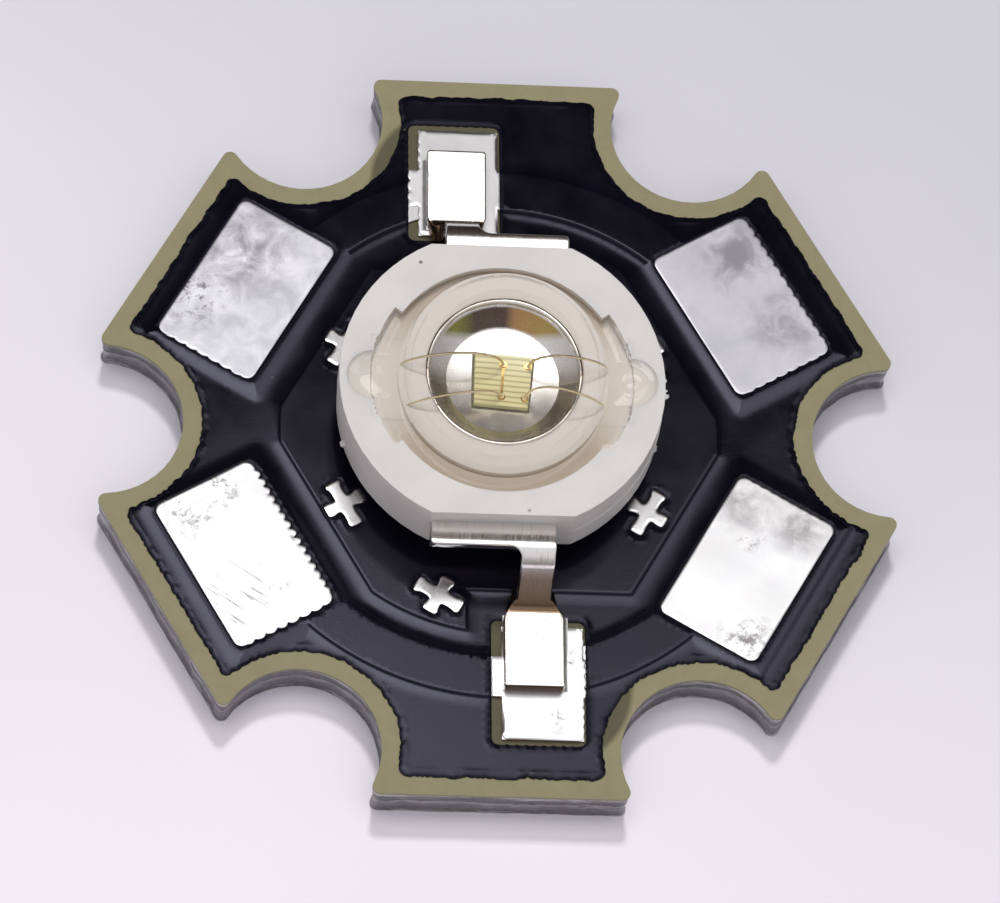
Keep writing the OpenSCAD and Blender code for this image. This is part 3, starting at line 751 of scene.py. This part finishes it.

# %% [markdown]
# The lacquer is one thin sheet. Its outer edge is the star set in by about half a millimetre and
# scalloped, more so at the front. The height of each point follows the distance to the copper: full
# over it, lower beside it, with a soft slope between. Extra points are put along the slopes so that
# they stay crisp. Each point also keeps a number for painted shade: at the foot of each slope, along
# the inner edge of the ring and round every opening, it turns the lacquer's reflection down and makes
# it duller, which paints dark creases there.

# %% Black lacquer
LACQUER_LOW = 1.25
LACQUER_HIGH = 1.30
BOARD_TOP = 1.2
LACQUER_INSET = 0.47
SCALLOP_PERIOD = 0.27
FOOT = 0.04
FOOT_REACH = 0.09
lacquer_edge = star_outline(LACQUER_INSET, 0.035)
edge_normal = outward(lacquer_edge)
travel = np.concatenate([[0], np.cumsum(np.linalg.norm(np.diff(lacquer_edge, axis=0), axis=1))])
drift = travel + 0.12 * smooth_noise(len(travel), 25)
strength = np.interp(lacquer_edge[:, 1], [-9, -2, 3, 9], [0.042, 0.046, 0.026, 0.018])
scallops = np.abs(np.sin(math.pi * drift / SCALLOP_PERIOD)) ** 0.7 - 0.6
ragged = strength * scallops + 0.016 * smooth_noise(len(travel), 14)
lacquer_edge = lacquer_edge + edge_normal * ragged[:, None]
openings = [*pad_outlines.values(), *lead_openings.values(), *cross_outlines, slug_opening]
coarse = hexagon_cloud((-10, -10), (10, 10), 0.13)
fine = hexagon_cloud((-10, -10), (10, 10), 0.036)
fine = fine[np.abs(copper_distance(fine) - FOOT) < FOOT_REACH]
cloud = np.concatenate([coarse[np.abs(copper_distance(coarse) - FOOT) >= FOOT_REACH], fine])
flat, triangles = fill(lacquer_edge, openings, cloud)
beside = copper_distance(flat, False)
beside_any = copper_distance(flat)
slope = gentle(np.maximum((0.075 - beside) / 0.09, (0.26 - beside_any) / 0.44))
to_rim = distance_to_loops(flat, [lacquer_edge, *openings])
lip = np.clip(1 - to_rim / 0.10, 0, 1)
height = LACQUER_LOW + (LACQUER_HIGH - LACQUER_LOW) * slope
height = height + 0.010 * lip * (1 - lip) * 4 - 0.014 * lip ** 3
corners, faces = lifted_sheet(flat, triangles, height, BOARD_TOP)
lacquer = make_piece("black_lacquer", corners, faces, ["solder_mask"], "mask", 50)
radius = np.linalg.norm(flat, axis=1)
inner_ring_shade = np.exp(-((radius - 6.21) / 0.075) ** 2) * (np.abs(beside - (RING_INNER - radius)) < 0.06)
crease_shade = np.maximum(0.9 * np.exp(-((beside - FOOT) / 0.030) ** 2), inner_ring_shade)
crease_shade = crease_shade * (beside_any > beside - 0.03)
crease_shade = np.maximum(crease_shade, 0.85 * np.exp(-(to_rim / 0.12) ** 2))
crease_values = lacquer.data.attributes.new("crease_shade", "FLOAT", "POINT")
crease_values.data.foreach_set("value", np.concatenate([crease_shade, crease_shade]))

ink = Finish("black_ink")
ink.set(IOR=1.5, Specular_Tint=(0.80, 0.78, 1.0, 1))
crease_shade_reader = ink.tree.nodes.new("ShaderNodeAttribute")
crease_shade_reader.attribute_name = "crease_shade"
# The crease number turns the lacquer's reflection down: painted shade in the creases.
ink.feed("Specular IOR Level", ink.levels(crease_shade_reader.outputs["Fac"], 0, 1, 0.5, 0.06))
clouds = ink.noise(0.9, 4, 0.6)
grain = ink.noise(20, 3, 0.6)
black = ink.mottle(clouds, (0.0015, 0.0016, 0.0045), (0.0035, 0.0036, 0.0085))
dust = ink.levels(ink.noise(6, 1, 0.4), 0.82, 0.85, 0, 0.8)
ink.feed("Base Color", ink.blend(dust, black, (0.16, 0.13, 0.10)))
dull = ink.levels(crease_shade_reader.outputs["Fac"], 0.3, 1, 0.11, 0.5)
ink.feed("Roughness", ink.either(ink.spread(clouds, 0.11, 0.18), dull))
ink.bump(grain, 0.10, 0.012)
ink.put_on(lacquer)

# %% [markdown]
# Molten tin was wiped level on every bare pad. It is bright but never perfect: it has a soft crown at
# the rim, smudges where the flux burned on, fine scratches all in about one direction and a few pits.
# The pads are thin sheets lifted into a crown by their distance from the rim.

# %% Tin on the pads
TIN_BASE = 1.27
TIN_TOP = 1.32


def tin_piece(name, outlines, stands_for, crown, step):
    sheets = []
    for outline in outlines:
        insets = [crown * share for share in (0.2, 0.5, 1.0)]
        flat, triangles, to_rim = rimmed_fill(outline, step, crown + 0.03, insets)
        rim = np.clip(to_rim / crown, 0, 1)
        wave = 0.004 * np.sin(1.9 * flat[:, 0] + 0.7) * np.cos(2.3 * flat[:, 1] - 0.4)
        swell = 0.8 + 0.2 * np.sqrt(1 - (1 - rim) ** 2)
        top = TIN_BASE + (TIN_TOP - TIN_BASE) * swell + wave * rim
        sheets.append(lifted_sheet(flat, triangles, top, TIN_BASE))
    return make_piece(name, *joined(sheets), stands_for, "tin", 60)


tin_pads = {}
for name, outline in pad_outlines.items():
    tin_pads[name] = tin_piece("tin_pad_" + name, [outline], ["tin_" + name], 0.05, 0.07)
tin_leads = {}
for side, outline in lead_outlines.items():
    tin_leads[side] = tin_piece("tin_lead_" + side, [outline], ["tin_" + side + "_lead"], 0.03, 0.07)
tin_crosses = tin_piece("tin_cross_marks", cross_outlines, ["tin_crosses"], 0.05, 0.03)


def tin_finish(name, pale, dark, rough, spots, streak_turn=33):
    tin = Finish(name)
    tin.set(Metallic=1.0)
    stains = tin.noise(1.3, 6, 0.65, 0.6)
    specks = tin.noise(3.4, 6, 0.75)
    hairlines = tin.noise(2.6, 4, 0.6, 0.4, tin.turned((0, 0, streak_turn), (0.45, 7, 1)))
    marks = tin.both(tin.levels(specks, 0.70, 0.74, 0, 1), tin.levels(stains, 0.5, 0.6, 0, 1))
    textures = {"specks": tin.levels(specks, 0.50, 0.60, 0, 1),
                "lines": tin.levels(hairlines, 0.56, 0.64, 0, 0.9),
                "smudge": tin.levels(stains, 0.36, 0.62, 0, 0.65)}
    for kind, x, y, inner, outer in spots:
        marks = tin.either(marks, tin.both(tin.near(x, y, inner, outer), textures[kind]))
    tinned = tin.ramp(stains, [(0.35, pale), (0.65, dark)])
    tin.feed("Base Color", tin.blend(marks, tinned, (0.24, 0.22, 0.23)))
    tin.feed("Roughness", tin.spread(stains, rough - 0.06, rough + 0.06))
    tin.bump(specks, 0.10, 0.01)
    return tin


BRIGHT = (0.95, 0.945, 0.95)
PALE = (0.90, 0.895, 0.91)
MILKY = (0.94, 0.93, 0.98)
CLOUDY = (0.72, 0.71, 0.765)
DUSTY = (0.76, 0.74, 0.80)
# Two colours, a roughness and the turn of the hairlines, then spots with x, y, inner and outer reach
PAD_WEAR = {
    "front_left": (BRIGHT, PALE, 0.34, -33, [
        ("specks", -7.2, -1.9, 0.2, 0.8), ("specks", -7.9, -2.5, 0.3, 0.9),
        ("lines", -6.6, -4.9, 0.5, 1.3), ("specks", -5.6, -4.6, 0.0, 0.5)]),
    "front_right": (BRIGHT, PALE, 0.34, -30, [
        ("smudge", 6.3, -1.9, 0.3, 1.0), ("smudge", 7.7, -2.5, 0.3, 1.0),
        ("specks", 6.4, -2.8, 0.0, 0.5), ("specks", 6.2, -5.6, 0.1, 0.9)]),
    "rear_left": (MILKY, CLOUDY, 0.46, -32, [
        ("specks", -7.9, 3.6, 0.2, 1.2), ("smudge", -6.6, 4.9, 0.4, 1.6)]),
    "rear_right": (DUSTY, CLOUDY, 0.46, -30, [
        ("smudge", 6.2, 5.2, 0.3, 1.4), ("smudge", 7.4, 3.3, 0.2, 1.2)]),
}
for name, (pale, dark, rough, streak_turn, spots) in PAD_WEAR.items():
    tin_finish("tin_" + name, pale, dark, rough, spots, streak_turn).put_on(tin_pads[name])
lead_spots = [("specks", 1.35, -7.95, 0.1, 0.5), ("specks", 1.8, -6.4, 0.05, 0.4)]
small_tin = tin_finish("tin_small_pads", BRIGHT, PALE, 0.34, lead_spots)
small_tin.put_on(*tin_leads.values(), solids["tin_slug_pad"])
tin_finish("tin_marks", BRIGHT, PALE, 0.24, []).put_on(tin_crosses)

# %% [markdown]
# Solder under the feet and the slug is duller than the tin, with a slightly lumpy skin.

# %% Solder
solder = Finish("reflowed_solder")
solder.set(Metallic=1.0)
lumps = solder.noise(4, 3, 0.5)
solder.feed("Base Color", solder.mottle(lumps, (0.78, 0.77, 0.77), (0.90, 0.89, 0.89)))
solder.feed("Roughness", solder.spread(lumps, 0.40, 0.52))
solder.bump(lumps, 0.3, 0.02)
solder.put_on(solids["front_solder"], solids["rear_solder"], solids["slug_solder"])

# %% [markdown]
# The two leads are stamped from bright plated strip and bent down to the board. A flat blank is drawn
# first: the bar along the body, a rounded inner corner, the narrow leg and the wider foot. It is then
# wrapped along its side view, so that the bends come out smooth, as on a press. The side view is walked
# like a path: a straight piece, an arc to the next heading, and so on down to the toe. The toe of the
# rear foot stands up a little. An arm runs on round the inside of the body to the bond wires. The legs
# are painted darker and browner towards the foot, a painted reflection of the dim room. The sheared toes
# are bare metal, and their very dark brown is painted shade.

# %% Plated leads
SEAT = 1.37
EMITTER = np.array([-0.16, 0.20])
STRIP = 0.40
LEAD_TOP = 3.40
BAR_TILT = math.radians(3.5)
LEG_STEEP = math.radians(-68)
TOE = 7.44
TOE_LIFT = 0.15
BAR_INNER = 2.77
BAR_OUTER = 3.72
BAR_REST = 0.48
BEND_RADIUS = 0.6
HEEL_RADIUS = 0.2
ARM_OUTER = 3.33
ARM_INNER = 2.38


def straight(path, heading, length):
    path.append(path[-1] + length * np.array([math.cos(heading), math.sin(heading)]))


def arc(path, first, last, radius):
    turn_way = 1 if last > first else -1
    centre = path[-1] + turn_way * radius * np.array([-math.sin(first), math.cos(first)])
    for heading in np.linspace(first, last, 30)[1:]:
        path.append(centre - turn_way * radius * np.array([-math.sin(heading), math.cos(heading)]))


def side_profile():
    foot_top = SEAT + STRIP
    path = [np.array([BAR_INNER, LEAD_TOP]), np.array([BAR_OUTER, LEAD_TOP])]
    straight(path, BAR_TILT, BAR_REST)
    arc(path, BAR_TILT, LEG_STEEP, BEND_RADIUS)
    drop = path[-1][1] - foot_top - HEEL_RADIUS * (1 - math.cos(LEG_STEEP))
    straight(path, LEG_STEEP, drop / -math.sin(LEG_STEEP))
    arc(path, LEG_STEEP, 0, HEEL_RADIUS)
    straight(path, 0, TOE - path[-1][0])
    return np.array(path)


def lead_blank(bar_end, foot_start, toe):
    blank = [(0.0, -1.79), (bar_end - 0.12, -1.79), (bar_end - 0.035, -1.755), (bar_end, -1.67)]
    corner = np.radians(np.linspace(0, 90, 10))
    blank += [(bar_end + 0.3 - 0.3 * math.cos(a), 0.20 + 0.3 * math.sin(a)) for a in corner]
    shoulder = np.linspace(0, 1, 12)
    blank += [(foot_start - 0.35 + 0.60 * t, 0.50 - 0.305 * gentle(t)) for t in shoulder]
    blank += [(toe - 0.05, 0.195), (toe, 0.245), (toe, 1.675), (toe - 0.05, 1.725)]
    blank += [(foot_start - 0.35 + 0.60 * t, 1.36 + 0.365 * gentle(t)) for t in shoulder[::-1]]
    blank += [(bar_end + 0.2, 1.36), (bar_end, 1.38), (0.0, 1.38)]
    loop = np.array(blank)
    dense = []
    for start, stop in zip(loop, np.roll(loop, -1, 0)):
        pieces = max(1, int(np.linalg.norm(stop - start) / 0.05))
        dense.append(start + (stop - start) * np.linspace(0, 1, pieces, endpoint=False)[:, None])
    return np.concatenate(dense)


def bent_strip(toe_lift):
    profile = side_profile()
    run = np.concatenate([[0], np.cumsum(np.linalg.norm(np.diff(profile, axis=0), axis=1))])
    along = np.gradient(profile, run, axis=0)
    across = np.stack([-along[:, 1], along[:, 0]], 1)
    outline = lead_blank(np.interp(4.35, profile[:, 0], run), run[-2] - 0.1, run[-1])
    flat, triangles, to_rim = rimmed_fill(outline, 0.06, 0.08, (0.014, 0.028, 0.05))
    rim = np.clip(to_rim / 0.04, 0, 1)
    top = -0.04 * (1 - np.sqrt(1 - (1 - rim) ** 2))
    top = top + toe_lift * np.clip((flat[:, 0] - run[-2]) / (run[-1] - run[-2]), 0, 1)
    sheet_corners, sheet_faces = lifted_sheet(flat, triangles, top, -STRIP)
    place = np.stack([np.interp(sheet_corners[:, 0], run, profile[:, k]) for k in (0, 1)], 1)
    normal = np.stack([np.interp(sheet_corners[:, 0], run, across[:, k]) for k in (0, 1)], 1)
    normal /= np.linalg.norm(normal, axis=1)[:, None]
    bent = place + normal * sheet_corners[:, 2][:, None]
    bent_corners = np.column_stack([sheet_corners[:, 1], -bent[:, 0], bent[:, 1]])
    sweep = np.radians(np.linspace(-115, 24, 90))
    arm = np.concatenate([ARM_OUTER * circle(sweep), ARM_INNER * circle(sweep)[::-1]])
    flat, triangles = fill(arm, [], hexagon_cloud(arm.min(0), arm.max(0), 0.15))
    arm_sheet = lifted_sheet(flat, triangles, np.full(len(flat), LEAD_TOP), LEAD_TOP - STRIP)
    return joined([(bent_corners, sheet_faces), arm_sheet])


lead_pieces = {}
for side, sign, toe_lift in (("front", 1, 0.0), ("rear", -1, TOE_LIFT)):
    strip_corners, strip_faces = bent_strip(toe_lift)
    placed = strip_corners * [sign, sign, 1] + [*EMITTER, 0]
    lead_pieces[side] = make_piece(side + "_bent_strip", placed, strip_faces, [side + "_lead"],
                                   "plated_lead", 50)

plating = Finish("bright_plating")
plating.set(Metallic=1.0)
lines = plating.noise(3, 4, 0.6, 0, plating.turned(scale=(7, 0.5, 0.5)))
tarnish = plating.noise(1.6, 4, 0.6)
bare = plating.blend(plating.levels(tarnish, 0.5, 0.75, 0, 0.6), (0.92, 0.89, 0.86), (0.78, 0.71, 0.64))
streaked = plating.blend(plating.levels(lines, 0.55, 0.70, 0, 0.5), bare, (0.60, 0.52, 0.45))
low = plating.along((0, 0, -1), -3.05, -1.85)
middle_y = float(EMITTER[1])
front_foot = plating.along((0, -1, 0), 5.36 - middle_y, 5.46 - middle_y)
rear_foot = plating.along((0, 1, 0), 5.36 + middle_y, 5.46 + middle_y)
on_leg = plating.both(low, plating.flipped(plating.math("ADD", front_foot, rear_foot)))
# Painted reflection: the leg's colour darkens and browns towards the foot.
leg_painted_reflection = plating.ramp(low, [(0.0, (0.80, 0.72, 0.66)), (0.3, (0.42, 0.33, 0.27)),
                              (1.0, (0.26, 0.17, 0.11))])
streaked = plating.blend(plating.levels(on_leg, 0.0, 0.12, 0, 1), streaked, leg_painted_reflection)
# The cut toe faces are bare metal, painted very dark brown as painted shade.
front_toe = plating.along((0, -1, 0), TOE - middle_y - 0.02, TOE - middle_y - 0.012)
rear_toe = plating.along((0, 1, 0), TOE + middle_y - 0.02, TOE + middle_y - 0.012)
bare_toe_and_painted_shade = plating.either(front_toe, rear_toe)
plating.feed("Base Color", plating.blend(bare_toe_and_painted_shade, streaked, (0.085, 0.045, 0.028)))
plating.feed("Roughness", plating.spread(lines, 0.12, 0.24))
plating.bump(lines, 0.35, 0.01)
plating.put_on(*lead_pieces.values())

# %% [markdown]
# The body is moulded in warm white plastic. Light goes a little way into it, which is what subsurface
# scattering does, and its surface is satin with faint flow marks. Under the lens it is tinted beige, with
# its brightness raised as painted light, since the lamps reach it only weakly through the lens. In the
# groove where the flange sits in front and behind, it is painted darker as painted shade. A bevel
# softens the moulded edges. Two things are added to the solid. Plastic has crept over the leads' arms
# and fills their slots up to the seat, with a bowl for each gel pocket. Where the mould's halves met, it
# was squeezed out as ragged burrs.

# %% Moulded body
plastic = Finish("warm_white_plastic")
plastic.set(Subsurface_Weight=0.25, Subsurface_Scale=0.6 * MM, Specular_IOR_Level=0.4)
plastic.set(Subsurface_Radius=(1.0, 0.8, 0.6))
flow = plastic.noise(0.7, 4, 0.55, 0.4)
pores = plastic.noise(12, 3, 0.6)
clean = plastic.mottle(flow, (0.68, 0.655, 0.635), (0.74, 0.715, 0.69))
under_gel = plastic.near(*EMITTER, 3.93, 4.06)
# Painted shade: the groove below the seat floor is painted darker, less so in the bays.
groove_painted_shade = plastic.both(under_gel, plastic.flipped(plastic.along((0, 0, 1), 3.70, 3.86)))
bays = plastic.either(*[plastic.near(x, 0.2, 1.0, 2.0, 3.65) for x in (-3.3, 3.0)])
groove_painted_shade = plastic.both(groove_painted_shade, plastic.levels(bays, 0, 1, 1, 0.2))
# Under the lens: a beige tint with painted light, then the painted shade of the groove.
gel_tint_and_painted_shading = plastic.blend(under_gel, clean, (0.75, 0.705, 0.66))
gel_tint_and_painted_shading = plastic.blend(groove_painted_shade, gel_tint_and_painted_shading, (0.54, 0.475, 0.41))
specks = plastic.either(plastic.near(-2.23, 3.39, 0.03, 0.06, 3.94),
                        plastic.near(0.48, -3.40, 0.0, 0.06, 3.94))
plastic.feed("Base Color", plastic.blend(specks, gel_tint_and_painted_shading, (0.22, 0.17, 0.15)))
plastic.feed("Roughness", plastic.spread(pores, 0.42, 0.55))
plastic.bump(pores, 0.10, 0.01)
soften(solids["body_frame"], 0.07, 4)

SEAT_FLOOR = SEAT + 2.28
ISLAND_TOP = SEAT + 2.51
BODY_TOP = SEAT + 2.57
SKIN = 0.003
POCKET_PLACE = 3.27
POCKET_RADIUS = 0.67
ISLAND_RADIUS = 2.49
SEAT_RADIUS = 3.335
plot_sides = [((1.92, -1.18), (3.36, -1.18)), ((3.36, -1.18), (3.36, -0.76)), ((3.36, 0.76), (3.36, 1.18)),
              ((3.36, 1.18), (1.92, 1.18)), ((1.92, 1.18), (1.92, -1.18))]
plot_lines = [scalloped(start, stop, 1, 0) for start, stop in plot_sides]
bulge = 0.745 * circle(np.radians(np.linspace(-83, 83, 60))) + [POCKET_PLACE, 0]
plot = np.concatenate([*plot_lines[:2], bulge, *plot_lines[2:]])
middle = hexagon_cloud((1.9, -1.2), (4.0, 1.2), 0.04)
turns = np.linspace(0, 2 * math.pi, 150, endpoint=False)
rims = [radius * circle(turns) for radius in (2.48, 2.50, 3.325, 3.345)]
pocket_rims = [radius * circle(turns) + [POCKET_PLACE, 0] for radius in (0.66, 0.68)]
flat, triangles = fill(plot, [], np.concatenate([middle, *rims, *pocket_rims]))
reach = np.linalg.norm(flat, axis=1)
from_pocket = np.hypot(flat[:, 0] - POCKET_PLACE, flat[:, 1])
bowl = BODY_TOP - 0.20 * np.sqrt(np.clip(1 - (from_pocket / POCKET_RADIUS) ** 2, 0, 1))
outside_seat = np.minimum(BODY_TOP, bowl)
level = np.where(reach < ISLAND_RADIUS, ISLAND_TOP, np.where(reach < SEAT_RADIUS, SEAT_FLOOR, outside_seat))
level = level + SKIN - 0.02 * np.clip(1 - distance_to_loops(flat, [plot]) / 0.03, 0, 1)
corners, faces = lifted_sheet(flat, triangles, level, LEAD_TOP + 0.005)
both_corners, both_faces = joined([(corners, faces), (corners * [-1, -1, 1], faces)])
placed = both_corners + [*EMITTER, 0]
slot_skin = make_piece("plastic_over_arms", placed, both_faces, None, "white_plastic", 30)

BODY_RADIUS = 4.13
# Middle angle, half angle, size and height of each burr
BURRS = [(6.5, 5.0, 0.26, 2.6), (197.8, 1.2, 0.09, 2.45), (-15.7, 1.4, 0.09, 2.45)]
burr_corners, burr_faces = [], []
for middle_angle, half_angle, size, middle_height in BURRS:
    start = len(burr_corners)
    steps = max(6, int(half_angle * 5))
    ragged = np.abs(smooth_noise(steps, 4))
    for k, share in enumerate(np.linspace(-1, 1, steps)):
        x, y = at_angle(1, middle_angle + half_angle * share)
        spread = size * (1 - share ** 6) * (0.45 + 0.35 * min(ragged[k], 1.2) + 0.25 * abs(share))
        for reach, rise in ((BODY_RADIUS - 0.08, 0.07), (BODY_RADIUS + spread, 0.03),
                            (BODY_RADIUS + 0.8 * spread, -0.05), (BODY_RADIUS - 0.08, -0.09)):
            burr_corners.append((EMITTER[0] + reach * x, EMITTER[1] + reach * y, middle_height + rise))
    for k in range(steps - 1):
        for j in range(4):
            here, there = start + 4 * k, start + 4 * (k + 1)
            burr_faces.append((here + j, here + (j + 1) % 4, there + (j + 1) % 4, there + j))
    burr_faces.append(tuple(start + j for j in (3, 2, 1, 0)))
    burr_faces.append(tuple(start + 4 * (steps - 1) + j for j in range(4)))
burrs = make_piece("flash_burrs", burr_corners, burr_faces, None, "white_plastic")
plastic.put_on(solids["body_frame"], slot_skin, burrs)

# %% [markdown]
# The slug's cup is satin silver, and the punch that formed it left a polished, slightly uneven lip
# round its mouth. The lip is a ring swept round the cup whose thickness wavers. The rear wall is
# painted olive, dark brown and orange, as painted reflections. The chip is a thin crystal with fine
# lines, stuck down with dark paste that shows as a border. Gold bars on it and paler wires carry the
# current. Those solids keep their shape and get a finish.

# %% Slug, chip and gold
silver = Finish("bright_silver")
silver.set(Metallic=1.0)
blush = silver.noise(2.2, 4, 0.6)
plate_color = silver.mottle(blush, (0.90, 0.87, 0.84), (0.95, 0.93, 0.91))
across = silver.along((1, 0, 0), -1.0, 0.7)
# Painted reflections on the cup's rear wall: olive, dark brown and orange across it.
rear_wall_painted_reflections = silver.ramp(across, [(0.05, (0.36, 0.36, 0.10)), (0.25, (0.14, 0.11, 0.09)),
                            (0.52, (0.13, 0.09, 0.08)), (0.62, (0.46, 0.28, 0.13)),
                            (0.95, (0.52, 0.38, 0.13))])
rear_wall = silver.both(silver.along((0, 1, 0), 0.96, 1.10), silver.along((0, 0, 1), 3.705, 3.72))
below_lip = silver.both(rear_wall, silver.along((0, 0, -1), -3.875, -3.855))
silver.feed("Base Color", silver.blend(below_lip, plate_color, rear_wall_painted_reflections))
silver.feed("Roughness", silver.spread(blush, 0.22, 0.30))
silver.put_on(solids["heat_slug"])

LIP_RADIUS = 1.37
LIP_SIZE = 0.055
LIP_STEPS = 160
LIP_SIDES = 14
lip_corners = []
for turn_by in np.linspace(0, 2 * math.pi, LIP_STEPS, endpoint=False):
    wobble = 1 + 0.10 * math.sin(5 * turn_by + 1) + 0.06 * math.sin(11 * turn_by)
    for roll in np.linspace(0, 2 * math.pi, LIP_SIDES, endpoint=False):
        reach = LIP_RADIUS + LIP_SIZE * wobble * math.cos(roll)
        lip_corners.append((EMITTER[0] + reach * math.cos(turn_by), EMITTER[1] + reach * math.sin(turn_by),
                            ISLAND_TOP + LIP_SIZE * wobble * math.sin(roll)))
lip_faces = wall_faces(LIP_STEPS, LIP_SIDES, True)
cup_lip = make_piece("rolled_cup_lip", lip_corners, lip_faces, None, "silvered_copper")
lip_finish = Finish("polished_lip")
lip_finish.set(Metallic=1.0, Roughness=0.16)
burnish = lip_finish.noise(2.5, 4, 0.6)
lip_finish.feed("Base Color", lip_finish.mottle(burnish, (0.80, 0.72, 0.62), (0.95, 0.93, 0.90)))
lip_finish.put_on(cup_lip)

crystal = Finish("lined_crystal")
crystal.set(Roughness=0.22, IOR=1.7)
bands = crystal.add("ShaderNodeTexWave", Scale=3.1, Distortion=0.6, Detail=2)
bands.bands_direction = "Y"
crystal.join(crystal.turned((0, 0, -3.8)), bands.inputs["Vector"])
crystal.feed("Base Color", crystal.ramp(bands.outputs["Fac"], [
    (0.04, (0.42, 0.385, 0.18)), (0.20, (0.62, 0.57, 0.28)), (0.80, (0.72, 0.66, 0.35))]))
crystal.put_on(solids["led_chip"])

paste = Finish("grey_paste")
paste.feed("Base Color", paste.mottle(paste.noise(7, 3), (0.12, 0.105, 0.06), (0.20, 0.18, 0.11)))
paste.feed("Roughness", paste.spread(paste.noise(11, 3), 0.4, 0.6))
paste.put_on(solids["die_attach"])


def drawn_metal(name, grain, dark, pale, smooth, rough):
    metal = Finish(name)
    metal.set(Metallic=1.0)
    worn = metal.noise(grain, 3, 0.6)
    metal.feed("Base Color", metal.mottle(worn, dark, pale))
    metal.feed("Roughness", metal.spread(worn, smooth, rough))
    return metal


gold = drawn_metal("drawn_gold", 8, (0.66, 0.43, 0.13), (0.84, 0.60, 0.24), 0.16, 0.30)
gold.put_on(solids["chip_electrodes"])
wire = drawn_metal("pale_gold_wire", 9, (0.72, 0.58, 0.34), (0.86, 0.73, 0.48), 0.28, 0.40)
wire.put_on(*[solids["wire_" + end] for end in PAD_TURNS])

# %% [markdown]
# The lens and the soft gel under it have almost the same refractive index, so light crosses from one to
# the other as if they were one piece. They are built as one closed clear mesh: the dome, the flange
# round it, and the gel that fills the bays and pockets of the body up to a rippled, slightly proud
# skin. Its underside lies a little below the opaque floor, where it can't be seen, so no two clear
# faces lie on each other.

# %% Lens and gel in one clear piece
DOME_RADIUS = 2.68
DOME_CENTRE = SEAT + 2.53
FLANGE_TOP = SEAT + 2.46
GEL_FLOOR = SEAT + 1.9
BAY_HALF = math.radians(35)
BAY_RADIUS = 3.32
FLANGE_RADIUS = 3.10
BEAD_START = 2.85
WET_START = 2.82
AROUND = 480
angle = np.linspace(0, 2 * math.pi, AROUND, endpoint=False)
sideways = np.abs((angle + math.pi / 2) % math.pi - math.pi / 2)
rim_radius = np.where(sideways < BAY_HALF, BAY_RADIUS, FLANGE_RADIUS)
pocket = POCKET_RADIUS ** 2 - (POCKET_PLACE * np.sin(sideways)) ** 2
pocket_reach = POCKET_PLACE * np.cos(sideways) + np.sqrt(np.maximum(pocket, 0))
rim_radius = np.where(pocket > 0, np.maximum(rim_radius, pocket_reach), rim_radius)
rim_radius = rim_radius + 0.008
in_bay = np.clip((BAY_HALF - sideways) / math.radians(6), 0, 1)

clear_rings = []
dome_start = math.asin((FLANGE_TOP - DOME_CENTRE) / DOME_RADIUS)
for climb in np.linspace(math.pi / 2 - 0.02, dome_start, 70):
    ring_radius = DOME_RADIUS * math.cos(climb)
    clear_rings.append(np.column_stack([ring_radius * np.cos(angle), ring_radius * np.sin(angle),
                                        np.full(AROUND, DOME_CENTRE + DOME_RADIUS * math.sin(climb))]))
root_radius = DOME_RADIUS * math.cos(dome_start)
for share in np.linspace(0, 1, 26)[1:]:
    ring_radius = root_radius + share * (rim_radius - root_radius)
    x = ring_radius * np.cos(angle)
    y = ring_radius * np.sin(angle)
    from_pocket = np.hypot(np.abs(x) - POCKET_PLACE, y)
    bead = np.clip(1 - (from_pocket / POCKET_RADIUS) ** 2, 0, 1) * gentle((ring_radius - BEAD_START) / 0.30)
    rings = 0.014 * np.cos(20 * from_pocket) * bead * (x > 0)
    lumps = 0.020 * np.sin(9 * x + 1) * np.cos(8 * y) * bead * (x < 0)
    wetted = gentle((ring_radius - WET_START) / (rim_radius - WET_START)) ** 2 * in_bay
    level = FLANGE_TOP + (BODY_TOP - 0.015 - FLANGE_TOP) * np.maximum(wetted, 0.9 * bead ** 0.6)
    clear_rings.append(np.column_stack([x, y, level + rings + lumps]))
outer = clear_rings[-1].copy()
outer[:, 2] = GEL_FLOOR
clear_rings.append(outer)
clear_corners = np.concatenate(clear_rings)
clear_corners[:, :2] += EMITTER
apex = len(clear_corners)
foot = apex + 1
tips = [[*EMITTER, DOME_CENTRE + DOME_RADIUS], [*EMITTER, GEL_FLOOR]]
clear_corners = np.concatenate([clear_corners, tips])
clear_faces = wall_faces(len(clear_rings), AROUND)
last = (len(clear_rings) - 1) * AROUND
for k in range(AROUND):
    after = (k + 1) % AROUND
    clear_faces.append((apex, k, after))
    clear_faces.append((foot, last + after, last + k))
clear = make_piece("clear_lens_and_gel", clear_corners, clear_faces, ["lens", "silicone_gel"],
                   "clear_lens", 30)

glass = Finish("clear_moulding")
glass.set(Transmission_Weight=1.0, IOR=1.46)
haze = glass.noise(1.2, 3, 0.5)
glass.feed("Base Color", glass.mottle(haze, (0.965, 0.955, 0.935), (0.99, 0.985, 0.975)))
glass.feed("Roughness", glass.spread(haze, 0.0, 0.015))
passing = glass.add("ShaderNodeBsdfTransparent", Color=(0.87, 0.83, 0.78, 1))
light_path = glass.add("ShaderNodeLightPath")
shadow_mix = glass.add("ShaderNodeMixShader")
glass.join(light_path.outputs["Is Shadow Ray"], shadow_mix.inputs["Fac"])
glass.join(glass.shader.outputs["BSDF"], shadow_mix.inputs[1])
glass.join(passing.outputs["BSDF"], shadow_mix.inputs[2])
glass.join(shadow_mix.outputs["Shader"], glass.tree.nodes["Material Output"].inputs["Surface"])
glass.put_on(clear)
